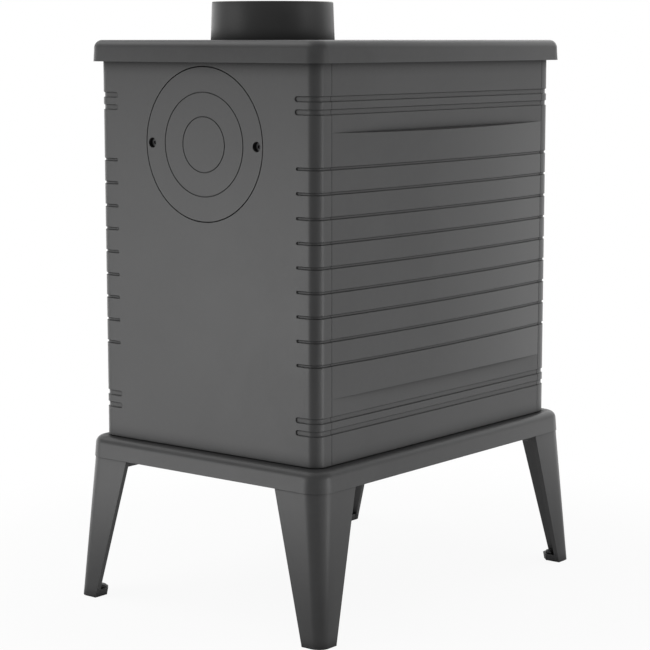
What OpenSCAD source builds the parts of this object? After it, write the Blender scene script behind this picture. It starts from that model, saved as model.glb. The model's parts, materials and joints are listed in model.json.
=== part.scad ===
// A box-shaped cast-iron wood stove on four splayed legs, with its flue collar on the
// top plate and a spare rear outlet closed by a ringed cover.
// Millimetres, +Z up, the door faces -Y. The origin lies on the floor, in the middle of
// the whole stove's footprint, hearth lip included.

/* [Body] */
// Width of the body across the side plates
body_w = 346; // [330:1:400]
// Depth of the body from the front plate to the rear plate
body_d = 493; // [470:1:560]
// Height of the body between the base frame and the top plate's lip
body_h = 467; // [450:1:520]
// Thickness of the cast walls
wall_t = 7; // [6:0.5:8]
// Corner radius of the rear plate
rear_corner_r = 15; // [12:0.5:18]
// Corner radius of the front plate
front_corner_r = 22; // [16:0.5:24]
// How far the rear and front plates wrap round onto the sides
corner_wrap = 26.5; // [25:0.5:32]
// Open joint between a side plate and the plate beside it
seam_gap = 0.6; // [0.3:0.1:1]
// Longest reach of a side plate's end lap behind the plate beside it
lap_reach = 11; // [8:0.5:14]
// Thickness of a side plate's end lap
lap_t = 4; // [3:0.5:5]
// Height of the shadow joint cut round the foot of the walls
foot_joint_h = 1.2; // [0.8:0.1:2]
// Depth of that joint
foot_joint_depth = 2.5; // [1.5:0.1:3.5]

/* [Grooves] */
// Depth of every groove round the body
groove_depth = 1.5; // [1:0.1:2]
// Height of a narrow groove at its mouth
narrow_groove_h = 3.9; // [3:0.1:5]
// Height of a wide groove at its mouth
wide_groove_h = 6.9; // [5:0.1:7.5]
// Draft of a groove's upper and lower walls over its depth
groove_draft = 0.9; // [0.3:0.1:1.2]
// Number of narrow grooves
narrow_grooves = 9; // [5:2:9]
// Spacing of the narrow grooves
narrow_pitch = 28.4; // [24:0.2:30]
// Spacing of the two wide grooves in a pair
wide_pitch = 15; // [12:0.5:18]
// Height of a wide pair's middle above or below the middle of the body
wide_offset = 185.5; // [180:0.5:200]
// How far the grooves run in from the body's side on the rear and front faces
groove_run = 29.5; // [27:0.5:32]

/* [Bowed side panels] */
// Rise of the bowed panel at its middle
bow_rise = 9; // [5:0.5:14]
// Height of the bowed panel
bow_h = 308.4; // [290:0.2:320]
// Slope of the bowed panel's upper and lower edges, as a height
bow_edge = 2.4; // [1:0.2:4]
// Width of the cast ledges inside the side plates
ledge_w = 14; // [13:0.5:16]
// Thickness of those ledges
ledge_t = 8; // [6:0.5:10]
// Distance of a ledge's ends from the tie rods
ledge_end_gap = 20; // [12:1:30]

/* [Base frame] */
// Height of the base frame
base_h = 26; // [24:0.5:32]
// Overhang of the base frame's lower edge past the body
base_overhang = 16; // [14:0.5:22]
// Corner radius of the base frame's lower edge
base_corner_r = 26; // [22:0.5:30]
// Radius of the base frame's upper edge
base_edge_r = 10; // [8:0.5:11]
// Draft of the base frame's side over its height
base_draft = 2.2; // [1:0.1:3]
// Thickness of the base frame's rim
base_rim_t = 9; // [8:0.5:11]
// Thickness of the base frame's floor
base_floor_t = 8; // [6:0.5:10]
// Height of the ribs that guide the ash drawer
guide_rib_h = 9; // [6:0.5:12]
// Thickness of those ribs
guide_rib_t = 5; // [4:0.5:6]
// Width of the stop behind the ash drawer
drawer_stop_w = 60; // [40:2:90]

/* [Top plate] */
// Height of the top plate with its lip
top_h = 26; // [22:0.5:32]
// Overhang of the lip's lower edge past the body
top_overhang = 10; // [8:0.2:14]
// Corner radius of the lip
top_corner_r = 20; // [17:0.5:26]
// Radius of the top plate's upper edge
top_edge_r = 10; // [7:0.5:11]
// Draft of the lip over its height
top_draft = 1.7; // [1:0.1:3]
// Thickness of the top plate itself
top_t = 9; // [8:0.5:12]
// Clearance between the walls and the lip that hangs round them
lip_clearance = 0.4; // [0.3:0.1:0.8]
// Radius of the bosses that the tie rods screw into
tie_boss_r = 10; // [9:0.5:12]
// Height of those bosses
tie_boss_h = 20; // [14:1:26]

/* [Flue collar] */
// Height of the collar above the top plate
collar_h = 46; // [40:1:60]
// Outer radius of the collar at its rim
collar_rim_r = 74.1; // [72:0.1:76]
// Outer radius of the collar at the top plate
collar_base_r = 75.9; // [75.5:0.1:80]
// Radius of the collar's bore
collar_bore_r = 69; // [64:0.5:70]
// Rounding of the collar's outer rim
collar_rim_round = 1.5; // [1:0.1:2.5]
// Distance of the collar's axis from the body's rear face
collar_from_rear = 128; // [118:1:140]
// Radius of the collar's flange under the top plate
flange_r = 94; // [92:0.5:98]
// Thickness of that flange
flange_t = 6; // [5:0.5:8]
// Radius of the circle of collar bolts
collar_bolt_circle_r = 85; // [84:0.5:87]
// Number of collar bolts
collar_bolts_n = 4; // [3:1:6]
// Thickness of the flat seals
seal_t = 1; // [0.8:0.1:1.5]

/* [Rear flue cover] */
// Radius of the cover
cover_r = 91.4; // [88:0.2:96]
// Thickness of the cover
cover_t = 10; // [9:0.5:12]
// Open joint round the cover
cover_gap = 1.2; // [0.6:0.1:1.4]
// Radius of the outlet that the cover closes
outlet_r = 70; // [64:0.5:72]
// Distance of the outlet's axis below the top of the body
outlet_drop = 96.8; // [96:0.2:110]
// Radius of the cover's outer ring groove
ring_outer_r = 61.8; // [56:0.2:66]
// Radius of the cover's inner ring groove
ring_inner_r = 33; // [26:0.2:40]
// Width of the ring grooves
ring_w = 1.2; // [1:0.1:2.5]
// Depth of the ring grooves
ring_depth = 0.8; // [0.6:0.1:1.5]
// Distance of the cover's screws from its axis
cover_screw_at = 82.7; // [80:0.1:84]
// Radius of the sunk holes over the cover's screws
sunk_hole_r = 6; // [5.8:0.1:6.5]
// Depth of those holes
sunk_hole_depth = 7.5; // [6:0.5:8]
// Thickness of the seat behind the cover
outlet_seat_t = 6; // [5:0.5:8]

/* [Legs] */
// Height of the legs
leg_h = 180; // [150:1:220]
// Wall thickness of the legs
leg_wall = 6; // [5:0.5:8]
// Width of each leg arm at the top
leg_top_w = 67.6; // [64:0.2:75]
// Width of each leg arm at the foot
leg_foot_w = 29; // [28.5:0.5:34]
// How far the legs' tops stand in from the base frame's edge
leg_inset = 1; // [0.5:0.1:2]
// How far the feet stand out from the legs' tops
leg_splay = 9.6; // [4:0.2:16]
// Corner radius of a leg at the top
leg_top_r = 25; // [20:0.5:28]
// Corner radius of a leg at the foot
leg_foot_r = 13.7; // [11:0.1:16]
// Thickness of the foot pads
pad_t = 9; // [7:0.5:10]
// How far the foot pads reach in past the legs' arms
pad_reach = 1.5; // [0:0.1:3]
// Draft of the foot pads' inner sides
pad_draft = 1.2; // [0.5:0.1:2]
// Cut across the foot pads' inner corners
pad_corner_cut = 9; // [6:0.5:11]
// Thickness of the flange that bolts a leg to the base frame
leg_flange_t = 8; // [6:0.5:10]
// Cut across the flange's inner corner
leg_flange_cut = 21; // [16:1:26]
// Distance of a leg's bolt from the leg's outer faces at the top
leg_bolt_inset = 34; // [33:0.5:36]
// Distance of a levelling screw from the foot's outer faces
level_screw_inset = 19; // [18.5:0.1:20]
// Width across the flats of a levelling screw's head
level_head_af = 14; // [13:0.5:15]
// Height of that head
level_head_h = 3; // [2.5:0.5:6]

/* [Door] */
// Distance of the door's edges from the body's sides
door_side_gap = 38; // [37:0.5:40]
// Distance of the door's lower edge from the bottom of the body
door_bottom_gap = 92; // [92:1:100]
// Distance of the door's upper edge from the top of the body
door_top_gap = 45; // [45:1:50]
// Thickness of the door
door_t = 16; // [15:0.5:18]
// Clearance between the closed door and the front plate
door_clearance = 0.6; // [0.4:0.1:1]
// How far the door overlaps the door opening all round
door_overlap = 18; // [17:0.5:19]
// Width of the door's frame beside the glass
door_stile_w = 49; // [48:0.5:56]
// Width of the door's frame above and below the glass
door_rail_w = 46; // [40:0.5:56]
// Corner radius of the door
door_corner_r = 10; // [6:0.5:14]
// Corner radius of the door's window
window_corner_r = 14; // [8:0.5:18]
// Thickness of the glass
glass_t = 4; // [4:0.5:5]
// Height of a glass clip
clip_h = 26; // [20:1:34]
// Thickness of a glass clip
clip_t = 1.6; // [1.2:0.1:2]
// How far the glass laps behind the door's frame
glass_lap = 10; // [9:0.5:12]
// Radius of the rope seal round the door
rope_r = 4; // [3.5:0.1:4.5]
// Radius of the hinge knuckles
knuckle_r = 8; // [7.5:0.1:8.4]
// Radius of the hinge pins
hinge_pin_r = 4; // [3.5:0.1:4.5]
// Height of a door knuckle
knuckle_h = 24; // [18:1:30]
// Height of each ear beside a knuckle
ear_h = 10; // [8:0.5:14]
// How far the door's middle field stands out from its rim
door_field_t = 3; // [2:0.5:4]
// Width of the rim round that field
door_rim_w = 6; // [4:0.5:10]
// Distance of the hinges from the door's upper and lower edges
hinge_from_edge = 50; // [40:1:70]

/* [Latch and handle] */
// Distance of the latch spindle from the door's free edge
spindle_inset = 30; // [29.5:0.5:31]
// Radius of the latch spindle
spindle_r = 5; // [4.5:0.1:5.5]
// Length of the latch cam from the spindle to its tip
cam_length = 25; // [24:0.5:26]
// Thickness of the latch cam
cam_t = 6; // [5:0.5:7]
// Turn of the handle from released to locked, in degrees
latch_turn = 90; // [84:1:90]
// Length of the handle from the spindle to the grip's end
handle_length = 82; // [76:1:84]
// Distance of the grip's axis from the door's face
handle_standoff = 34; // [30:0.5:38]
// Radius of the grip at its thickest
grip_r = 9.5; // [8:0.5:10]
// Radius of the grip where it meets the neck
grip_neck_r = 7; // [6:0.5:7.5]
// Radius of the handle's hub
handle_hub_r = 12; // [10:0.5:12.5]
// Radius of the handle's slanted neck
neck_r = 6.5; // [5.5:0.5:7]
// Drop of the neck from the spindle to the grip's axis
neck_drop = 24; // [20:1:26]

/* [Air controls] */
// Number of air slots under each slide
air_slots = 3; // [2:1:3]
// Width of an air slot
air_slot_w = 12; // [10:0.5:13]
// Height of an air slot
air_slot_h = 9; // [6:0.5:9.5]
// Thickness of the air slides
slide_t = 4; // [3:0.5:5]
// Height of the air slides
slide_h = 19; // [17:0.5:20]
// Running clearance of the slides on their plate and on their shoulder screws
slide_clearance = 0.4; // [0.3:0.1:0.6]
// Radius of the shoulder screws that carry the slides
shoulder_r = 3; // [2.5:0.1:3.2]
// Radius of the turned knobs
knob_r = 8; // [7:0.5:9]
// Length of the turned knobs with their stems
knob_l = 20; // [16:1:24]
// Inside depth of the hood that turns the upper air down over the glass
hood_gap = 12; // [9:0.5:14]
// Wall thickness of that hood
hood_t = 5; // [4:0.5:6]

/* [Ash drawer] */
// Width of the ash drawer's box
drawer_w = 206; // [190:1:216]
// Depth of the ash drawer's box
drawer_d = 378; // [340:1:400]
// Height of the ash drawer's box
drawer_h = 44; // [38:1:46]
// Sheet thickness of the ash drawer
drawer_sheet = 2; // [1.5:0.5:3]
// Running clearance under and beside the ash drawer
drawer_clearance = 0.6; // [0.4:0.1:1]
// Overlap of the drawer's front past its opening
drawer_overlap = 7; // [6:0.5:8]
// Thickness of the drawer's front
drawer_front_t = 8; // [7:0.5:10]
// How far the ash drawer pulls out
drawer_travel = 300; // [240:5:320]

/* [Hearth lip] */
// Reach of the hearth lip past the body's front face
hearth_reach = 64; // [64:1:80]
// Width of the hearth lip
hearth_w = 260; // [240:1:290]
// Radius of the hearth lip's front corners
hearth_corner_r = 40; // [30:1:50]
// Thickness of the hearth lip's tray
hearth_t = 5; // [4:0.5:6]
// Height of the rim round the tray
hearth_rim_h = 4; // [3:0.5:4.5]
// Width of that rim
hearth_rim_w = 5; // [4:0.5:8]
// Drop of the flange that bolts the lip to the front plate
hearth_flange_drop = 15; // [13:0.5:16]
// Thickness of that flange
hearth_flange_t = 6; // [5:0.5:8]

/* [Firebox] */
// Height of the fire floor's upper face above the bottom of the body
fire_floor_up = 82; // [80:1:86]
// Thickness of the fire floor
fire_floor_t = 8; // [7:0.5:10]
// Width of the grate
grate_w = 178; // [160:1:190]
// Length of the grate
grate_l = 248; // [220:1:270]
// Thickness of the grate
grate_t = 12; // [10:0.5:14]
// Rebate that carries the grate
grate_lap = 8; // [6:0.5:10]
// Clearance round the grate
grate_clearance = 1; // [0.5:0.1:1.5]
// Number of slots across the grate
grate_slots = 9; // [7:2:9]
// Width of a grate slot
grate_slot_w = 9; // [7:0.5:10]
// Thickness of the firebricks
brick_t = 25; // [22:0.5:28]
// Height of the firebricks
brick_h = 200; // [180:1:200]
// Open joint between two firebricks
brick_joint = 0.5; // [0.3:0.1:1]
// Length of the baffle plate
baffle_l = 340; // [300:1:360]
// Thickness of the baffle plate
baffle_t = 8; // [6:0.5:10]
// Height of the log guard
guard_h = 52; // [44:1:60]
// Thickness of the log guard
guard_t = 8; // [6:0.5:10]
// Spacing of the slots through the log guard
guard_slot_pitch = 40; // [34:1:44]
// Width of those slots
guard_slot_w = 14; // [10:1:18]
// Height left above and below those slots
guard_slot_margin = 10; // [8:0.5:14]
// Distance of the log guard behind the front wall
guard_gap = 16; // [12:1:20]

/* [Fasteners] */
// Radius of the tie rods
tie_rod_r = 4; // [3.5:0.1:4.5]
// Distance of the tie rods from the body's side faces
tie_rod_side = 27; // [26.5:0.5:28]
// Distance of the tie rods from the body's front and rear faces
tie_rod_end = 41.5; // [40:0.5:44]
// Radius of the leg bolts and levelling screws
large_screw_r = 5; // [4.5:0.1:5.5]
// Radius of the small bolts
small_screw_r = 3; // [2.5:0.1:3.2]
// Radial gap between a screw and its hole
thread_gap = 0.05; // [0.03:0.01:0.08]

/* [Hidden] */
$fn = 96;

iron = "#4a4a4b";
steel = "#77797b";
brick = "#b9a98c";
rope = "#3a3a3a";
black = "#1d1d1e";
clear_glass = "#9fb0b333";

cut = 1;                 // how far a cutter runs past the face it opens
slab = 0.01;             // thickness of the two plans a tapered leg is drawn between
bow_fn = 720;            // fineness of the large bow circle

// Heights from the floor up
base_z = leg_h;
body_z = base_z + base_h;
body_top = body_z + body_h;
top_z = body_top + top_h;
plate_under = top_z - top_t;
mid_z = body_z + body_h / 2;
fire_z = body_z + fire_floor_up;
brick_top = fire_z + brick_h;
outlet_z = body_top - outlet_drop;
door_z = body_z + door_bottom_gap;

// Plan of the body, measured from its own middle
side_x = body_w / 2;
end_y = body_d / 2;
seam_y = end_y - corner_wrap;
inner_x = side_x - wall_t;
inner_y = end_y - wall_t;
collar_y = end_y - collar_from_rear;
tie_x = side_x - tie_rod_side;
tie_y = end_y - tie_rod_end;
bow_r = (seam_y * seam_y + bow_rise * bow_rise) / (2 * bow_rise);
foot_out = base_overhang - leg_inset + leg_splay;
mid_y = (hearth_reach - foot_out) / 2;

// Door and its hinge axis
door_w = body_w - 2 * door_side_gap;
door_h = body_h - door_bottom_gap - door_top_gap;
opening_w = door_w - 2 * door_overlap;
opening_h = door_h - 2 * door_overlap;
opening_z = door_z + door_overlap;
window_w = door_w - 2 * door_stile_w;
window_h = door_h - 2 * door_rail_w;
door_back = -end_y - door_clearance;
door_face = door_back - door_t;
hinge_gap = 1;
hinge_x = -door_w / 2 - knuckle_r - hinge_gap;
hinge_y = -end_y - knuckle_r - 1.5;
hinge_play = 0.3;
hinge_zs = [door_z + hinge_from_edge, door_z + door_h - hinge_from_edge];
spindle_x = door_w / 2 - spindle_inset;
spindle_z = door_z + door_h / 2;
cam_gap = 2;
keeper_t = 1.5;
cam_hub_r = 8;
cam_tip_r = 5.5;
hub_h = 13;
boss_h = 2;
spindle_boss_r = 13;
knuckle_end_r = 8;       // ball where the handle's neck turns down to the grip
grip_gap = 10;           // from that ball's middle to the grip's upper end
hub_gap = 0.5;
seal_groove_inset = 10;
rope_stand = 0.3;
rope_bend = 9;
rope_y = door_back + rope_stand - rope_r;
window_step = 5;
glass_rebate = glass_t + 2 * seal_t + 1;
clip_screw_r = 2.5;
clip_hole_depth = 9;
clip_step_in = 5.4;      // from the clip screw to the step beside the glass
clip_foot = 6;           // from the clip screw to the clip's outer edge

// Air slides; a slide's bars cover the slots by slot_lap on each side when it is shut
slot_lap = 1;
slot_web = 3.6;
slot_pitch = 2 * air_slot_w + 2 * slot_lap;
slide_travel = slot_pitch / 2;
row_half = (air_slots - 1) / 2 * slot_pitch + air_slot_w / 2;
shoulder_slot_r = shoulder_r + slide_clearance;
shoulder_xs = [-row_half - slide_travel - slot_web - shoulder_slot_r, row_half + slot_web + shoulder_slot_r];
slide_left = shoulder_xs[0] - slide_travel - shoulder_slot_r - slot_web;
knob_round = 2.5;        // rounding of a knob's rims
knob_x = shoulder_xs[1] + shoulder_slot_r + slot_web + knob_r;
slide_right = knob_x + knob_r + 1;
airwash_z = body_top - door_top_gap / 2 - 3;

// Ash drawer
drawer_z = body_z + drawer_clearance;
drawer_mouth_w = drawer_w + 2 * drawer_clearance + 4;
drawer_mouth_h = drawer_h + 6;
drawer_front_drop = 3;
drawer_front_h = drawer_mouth_h + drawer_overlap - 2 * drawer_front_drop;
drawer_face_gap = 0.4;
drawer_y = -end_y + 0.6;
drawer_front_face = -end_y - drawer_face_gap - drawer_front_t;
primary_z = body_z + drawer_front_drop + drawer_front_h / 2;

// Hearth lip
hearth_top = door_z - 8;
hearth_bolt_z = hearth_top - hearth_t - hearth_rim_h - 7;

// Bolts, nuts and screws: "af" is across the flats, "h" the height of a head or nut
leg_bolt_af = 17;
leg_bolt_head_h = 6.4;
small_bolt_af = 10;
small_bolt_head_h = 4;
rod_nut_af = 13;
rod_nut_h = 6.5;
cam_nut_af = 14;
cam_nut_h = 5;
cover_screw_head_r = 5;
cover_screw_head_h = 3;
cover_screw_key_af = 4;
shoulder_head_h = 2.5;
shoulder_head_lap = 2.5; // how far a shoulder screw's head laps its slide
shoulder_key_af = 3;
clip_screw_head_r = 4.5;
clip_screw_head_h = 2.2;
pin_head_h = 3;
pin_head_lap = 2;
bolt_gap = 0.3;          // radial gap between a bolt and the hole it passes through
seal_gap = 0.6;          // the same gap in a soft seal
level_head_gap = 0.3;    // under a levelling screw's head
keyhole_depth = 1.8;
outlet_boss_w = 8;       // metal left round the seat of the rear cover

// Leg corner at its top, and the places that follow it
leg_x = side_x + base_overhang - leg_inset;
leg_y = end_y + base_overhang - leg_inset;
foot_x = leg_x + leg_splay;
foot_y = leg_y + leg_splay;
boss_r = 14;

// The four corners, as signs of x and y
corners = [[-1, -1], [1, -1], [-1, 1], [1, 1]];

// ---------- shared shapes ----------

// Puts what is drawn round the body's middle in its place over the footprint
module in_place() {
    translate([0, mid_y, 0]) children();
}

// Rounded rectangle, centred
module round_rect(w, d, r) {
    square([w - 2 * r, d], center = true);
    square([w, d - 2 * r], center = true);
    for (c = corners) {
        translate([c[0] * (w / 2 - r), c[1] * (d / 2 - r)]) circle(r);
    }
}

// Outline of the body with its tighter rear corners and rounder front ones, grown by "grow"
module body_plan(grow) {
    rear_r = rear_corner_r + grow;
    front_r = front_corner_r + grow;
    intersection() {
        round_rect(body_w + 2 * grow, body_d + 2 * grow, rear_r);
        translate([-body_w, -body_d / 2 + end_y / 2]) square([2 * body_w, body_d]);
    }
    intersection() {
        round_rect(body_w + 2 * grow, body_d + 2 * grow, front_r);
        translate([-body_w, -body_d - end_y / 2]) square([2 * body_w, body_d + cut]);
    }
}

// Edge profile of a cast slab: a drafted side with a rounded upper edge, u from the corner
// axis outwards, v up
module edge_profile(corner_r, h, draft, edge_r) {
    slope = atan(draft / h);
    u = corner_r - (edge_r + (h - edge_r) * sin(slope)) / cos(slope);
    reach = 2 * edge_r;
    difference() {
        polygon([[0, 0], [corner_r, 0], [corner_r - draft, h], [0, h]]);
        translate([u, h - edge_r]) difference() {
            polygon([[0, 0], [reach * cos(slope), reach * sin(slope)], [reach, reach], [0, reach]]);
            circle(edge_r);
        }
    }
}

// Cast slab with drafted sides, rounded corners and a rounded upper edge
module cast_slab(w, d, h, corner_r, draft, edge_r) {
    straight_w = w - 2 * corner_r;
    straight_d = d - 2 * corner_r;
    translate([-straight_w / 2, -straight_d / 2, 0]) cube([straight_w, straight_d, h]);
    for (i = [0:3]) {
        a = i * 90;
        along = i % 2 == 0 ? straight_d : straight_w;
        across = i % 2 == 0 ? straight_w : straight_d;
        rotate([0, 0, a]) {
            translate([across / 2, along / 2, 0]) rotate([90, 0, 0])
                linear_extrude(along) edge_profile(corner_r, h, draft, edge_r);
            translate([across / 2, along / 2, 0])
                rotate_extrude(angle = 90) edge_profile(corner_r, h, draft, edge_r);
        }
    }
}

// Square with its outer corner, at the origin, rounded; it spreads towards -x and -y
module corner_square(w, r) {
    difference() {
        translate([-w, -w]) square(w);
        translate([-r, -r]) difference() {
            square(r + cut);
            circle(r);
        }
    }
}

// Hexagonal nut or socket, "af" across its flats
module hexagon(af, h) {
    cylinder(h = h, r = af / sqrt(3), $fn = 6);
}

// Hexagonal head standing along +Z, its outer end chamfered at 30 degrees
module hex_head(af, h) {
    end_r = 0.47 * af;
    intersection() {
        hexagon(af, h);
        cylinder(h = h, r1 = end_r + h / tan(30), r2 = end_r);
    }
}

// Slot with round ends, cut along +Y through "depth"
module round_slot(w, h, depth) {
    rotate([-90, 0, 0]) linear_extrude(depth) {
        square([w - h, h], center = true);
        for (s = [-1, 1]) translate([s * (w - h) / 2, 0]) circle(h / 2);
    }
}

// Turned knob on a stem; it stands along +Z
module turned_knob(stem_l) {
    head_l = knob_l - stem_l;
    cylinder(h = stem_l + cut, r = small_screw_r);
    translate([0, 0, stem_l]) rotate_extrude() difference() {
        union() {
            square([knob_r - knob_round, head_l]);
            translate([0, knob_round]) square([knob_r, head_l - 2 * knob_round]);
            for (v = [knob_round, head_l - knob_round])
                translate([knob_r - knob_round, v]) circle(knob_round);
        }
        translate([-knob_r, -cut]) square([knob_r, knob_l + 2 * cut]);
    }
}

// ---------- grooves ----------

// Heights of the grooves, and the height of each one
narrow_zs = [for (i = [0:narrow_grooves - 1]) mid_z + (i - (narrow_grooves - 1) / 2) * narrow_pitch];
wide_zs = [for (s = [-1, 1], t = [-1, 1]) mid_z + s * wide_offset + t * wide_pitch / 2];

// Cross-section of a groove in a face at u = 0, u outwards and v up; it opens on past the face
module groove_profile(h) {
    flare = cut * groove_draft / groove_depth;
    polygon([
        [-groove_depth, -h / 2 + groove_draft], [cut, -h / 2 - flare],
        [cut, h / 2 + flare], [-groove_depth, h / 2 - groove_draft]
    ]);
}

// One groove round a wrapped end plate at height z; "face" is 1 on the rear, -1 on the front
module wrap_groove(z, h, face) {
    end_x = side_x - groove_run;
    r = face > 0 ? rear_corner_r : front_corner_r;
    for (s = [-1, 1]) translate([0, 0, z]) mirror([s < 0 ? 1 : 0, 0, 0]) mirror([0, face < 0 ? 1 : 0, 0]) {
        // Along the end face, round the corner and along the side to the seam
        translate([end_x, end_y, 0]) rotate([90, 0, 90])
            linear_extrude(groove_run - r) groove_profile(h);
        translate([side_x - r, end_y - r, 0]) rotate_extrude(angle = 90)
            translate([r, 0]) groove_profile(h);
        translate([side_x, end_y - r, 0]) rotate([90, 0, 0])
            linear_extrude(corner_wrap - r + cut) groove_profile(h);
        // Round end, drafted like the walls
        translate([end_x, end_y - groove_depth, 0]) rotate([-90, 0, 0])
            cylinder(h = groove_depth + cut, r1 = h / 2 - groove_draft,
                     r2 = h / 2 + cut * groove_draft / groove_depth);
    }
}

module wrap_grooves(face) {
    for (z = narrow_zs) wrap_groove(z, narrow_groove_h, face);
    for (z = wide_zs) wrap_groove(z, wide_groove_h, face);
}

// Groove that follows the bowed panel at height z
module bow_groove(z, h) {
    half = asin(seam_y / bow_r);
    translate([side_x + bow_rise - bow_r, 0, z]) rotate([0, 0, -half])
        rotate_extrude(angle = 2 * half, $fn = bow_fn) translate([bow_r, 0]) groove_profile(h);
}

// ---------- base and legs ----------

module base_frame() {
    color(iron) in_place() {
        difference() {
            union() {
                difference() {
                    translate([0, 0, base_z])
                        cast_slab(body_w + 2 * base_overhang, body_d + 2 * base_overhang, base_h,
                                  base_corner_r, base_draft, base_edge_r);
                    translate([0, 0, base_z - cut]) linear_extrude(base_h - base_floor_t + cut)
                        round_rect(body_w + 2 * (base_overhang - base_rim_t),
                                   body_d + 2 * (base_overhang - base_rim_t),
                                   base_corner_r - base_rim_t);
                }
                for (c = corners) {
                    translate([c[0] * (leg_x - leg_bolt_inset), c[1] * (leg_y - leg_bolt_inset), base_z])
                        cylinder(h = base_h - base_floor_t + cut, r = boss_r);
                }
            }
            for (c = corners) {
                translate([c[0] * (leg_x - leg_bolt_inset), c[1] * (leg_y - leg_bolt_inset), base_z - cut])
                    cylinder(h = base_h - base_floor_t - 2 + cut, r = large_screw_r + thread_gap);
                translate([c[0] * tie_x, c[1] * tie_y, base_z])
                    cylinder(h = base_h + cut, r = tie_rod_r + thread_gap);
            }
        }
        // Ribs on the floor that guide the ash drawer
        for (s = [-1, 1]) {
            translate([s * (drawer_w / 2 + drawer_clearance + guide_rib_t / 2) - guide_rib_t / 2,
                       -inner_y + 2, body_z])
                cube([guide_rib_t, drawer_d - 40, guide_rib_h]);
        }
        // Stop behind the ash drawer, a little taller than the ribs
        translate([-drawer_stop_w / 2, drawer_y + drawer_d + 1, body_z])
            cube([drawer_stop_w, guide_rib_t + 1, guide_rib_h + 3]);
    }
}

// Thin plan of a foot pad that reaches in past the arms by "reach", its inner corner taken off
module foot_pad_plan(reach) {
    w = leg_foot_w - leg_wall / 2 + reach;
    translate([leg_splay - leg_wall / 2, leg_splay - leg_wall / 2, 0]) linear_extrude(slab)
        difference() {
            corner_square(w, leg_foot_r - leg_wall / 2, $fn = 64);
            translate([-w, -w]) rotate(45) square(pad_corner_cut * sqrt(2), center = true);
        }
}

// One leg, drawn for the corner at +x and +y, from the leg's own outer corner at the top
module leg_casting() {
    flange_w = leg_top_w - leg_wall / 2 - 4;
    difference() {
        union() {
            difference() {
                hull() {
                    translate([0, 0, leg_h - slab]) linear_extrude(slab)
                        corner_square(leg_top_w, leg_top_r, $fn = 64);
                    translate([leg_splay, leg_splay, 0]) linear_extrude(slab)
                        corner_square(leg_foot_w, leg_foot_r, $fn = 64);
                }
                hull() {
                    translate([-leg_wall, -leg_wall, leg_h]) linear_extrude(slab)
                        corner_square(leg_top_w, leg_top_r - leg_wall, $fn = 64);
                    translate([leg_splay - leg_wall, leg_splay - leg_wall, -slab]) linear_extrude(slab)
                        corner_square(leg_foot_w, leg_foot_r - leg_wall, $fn = 64);
                }
            }
            hull() {
                translate([0, 0, pad_t - slab]) foot_pad_plan(pad_reach);
                foot_pad_plan(pad_reach - pad_draft);
            }
            // Bolting flange at the top
            translate([-leg_wall / 2, -leg_wall / 2, leg_h - leg_flange_t]) linear_extrude(leg_flange_t)
                difference() {
                    corner_square(flange_w, leg_top_r - leg_wall / 2);
                    translate([-flange_w, -flange_w]) rotate(45)
                        square(leg_flange_cut * sqrt(2), center = true);
                }
        }
        translate([leg_splay - level_screw_inset, leg_splay - level_screw_inset, -cut])
            cylinder(h = pad_t + 2 * cut, r = large_screw_r + thread_gap);
        translate([-leg_bolt_inset, -leg_bolt_inset, leg_h - leg_flange_t - cut])
            cylinder(h = leg_flange_t + 2 * cut, r = large_screw_r + bolt_gap);
    }
}

module leg(c) {
    color(iron) in_place() translate([c[0] * leg_x, c[1] * leg_y, 0])
        mirror([c[0] < 0 ? 1 : 0, 0, 0]) mirror([0, c[1] < 0 ? 1 : 0, 0]) leg_casting();
}

module leg_bolts() {
    color(steel) in_place() for (c = corners) {
        translate([c[0] * (leg_x - leg_bolt_inset), c[1] * (leg_y - leg_bolt_inset), 0]) {
            translate([0, 0, leg_h - leg_flange_t]) mirror([0, 0, 1]) hex_head(leg_bolt_af, leg_bolt_head_h);
            translate([0, 0, leg_h - leg_flange_t - 1])
                cylinder(h = leg_flange_t + base_h - base_floor_t - 4, r = large_screw_r);
        }
    }
}

// Levelling screw turned down through the foot pad, its hexagon standing just clear of it
module levelling_screw(c) {
    color(steel) in_place()
        translate([c[0] * (foot_x - level_screw_inset), c[1] * (foot_y - level_screw_inset), 0]) {
            translate([0, 0, 1]) cylinder(h = pad_t, r = large_screw_r);
            translate([0, 0, pad_t + level_head_gap]) hex_head(level_head_af, level_head_h);
        }
}

// ---------- body plates ----------

// Round of the bow, its radius reduced by "inset", between two heights
module bow_round(inset, low, high) {
    translate([side_x + bow_rise - bow_r, 0, low])
        cylinder(h = high - low, r = bow_r - inset, $fn = bow_fn);
}

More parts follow.
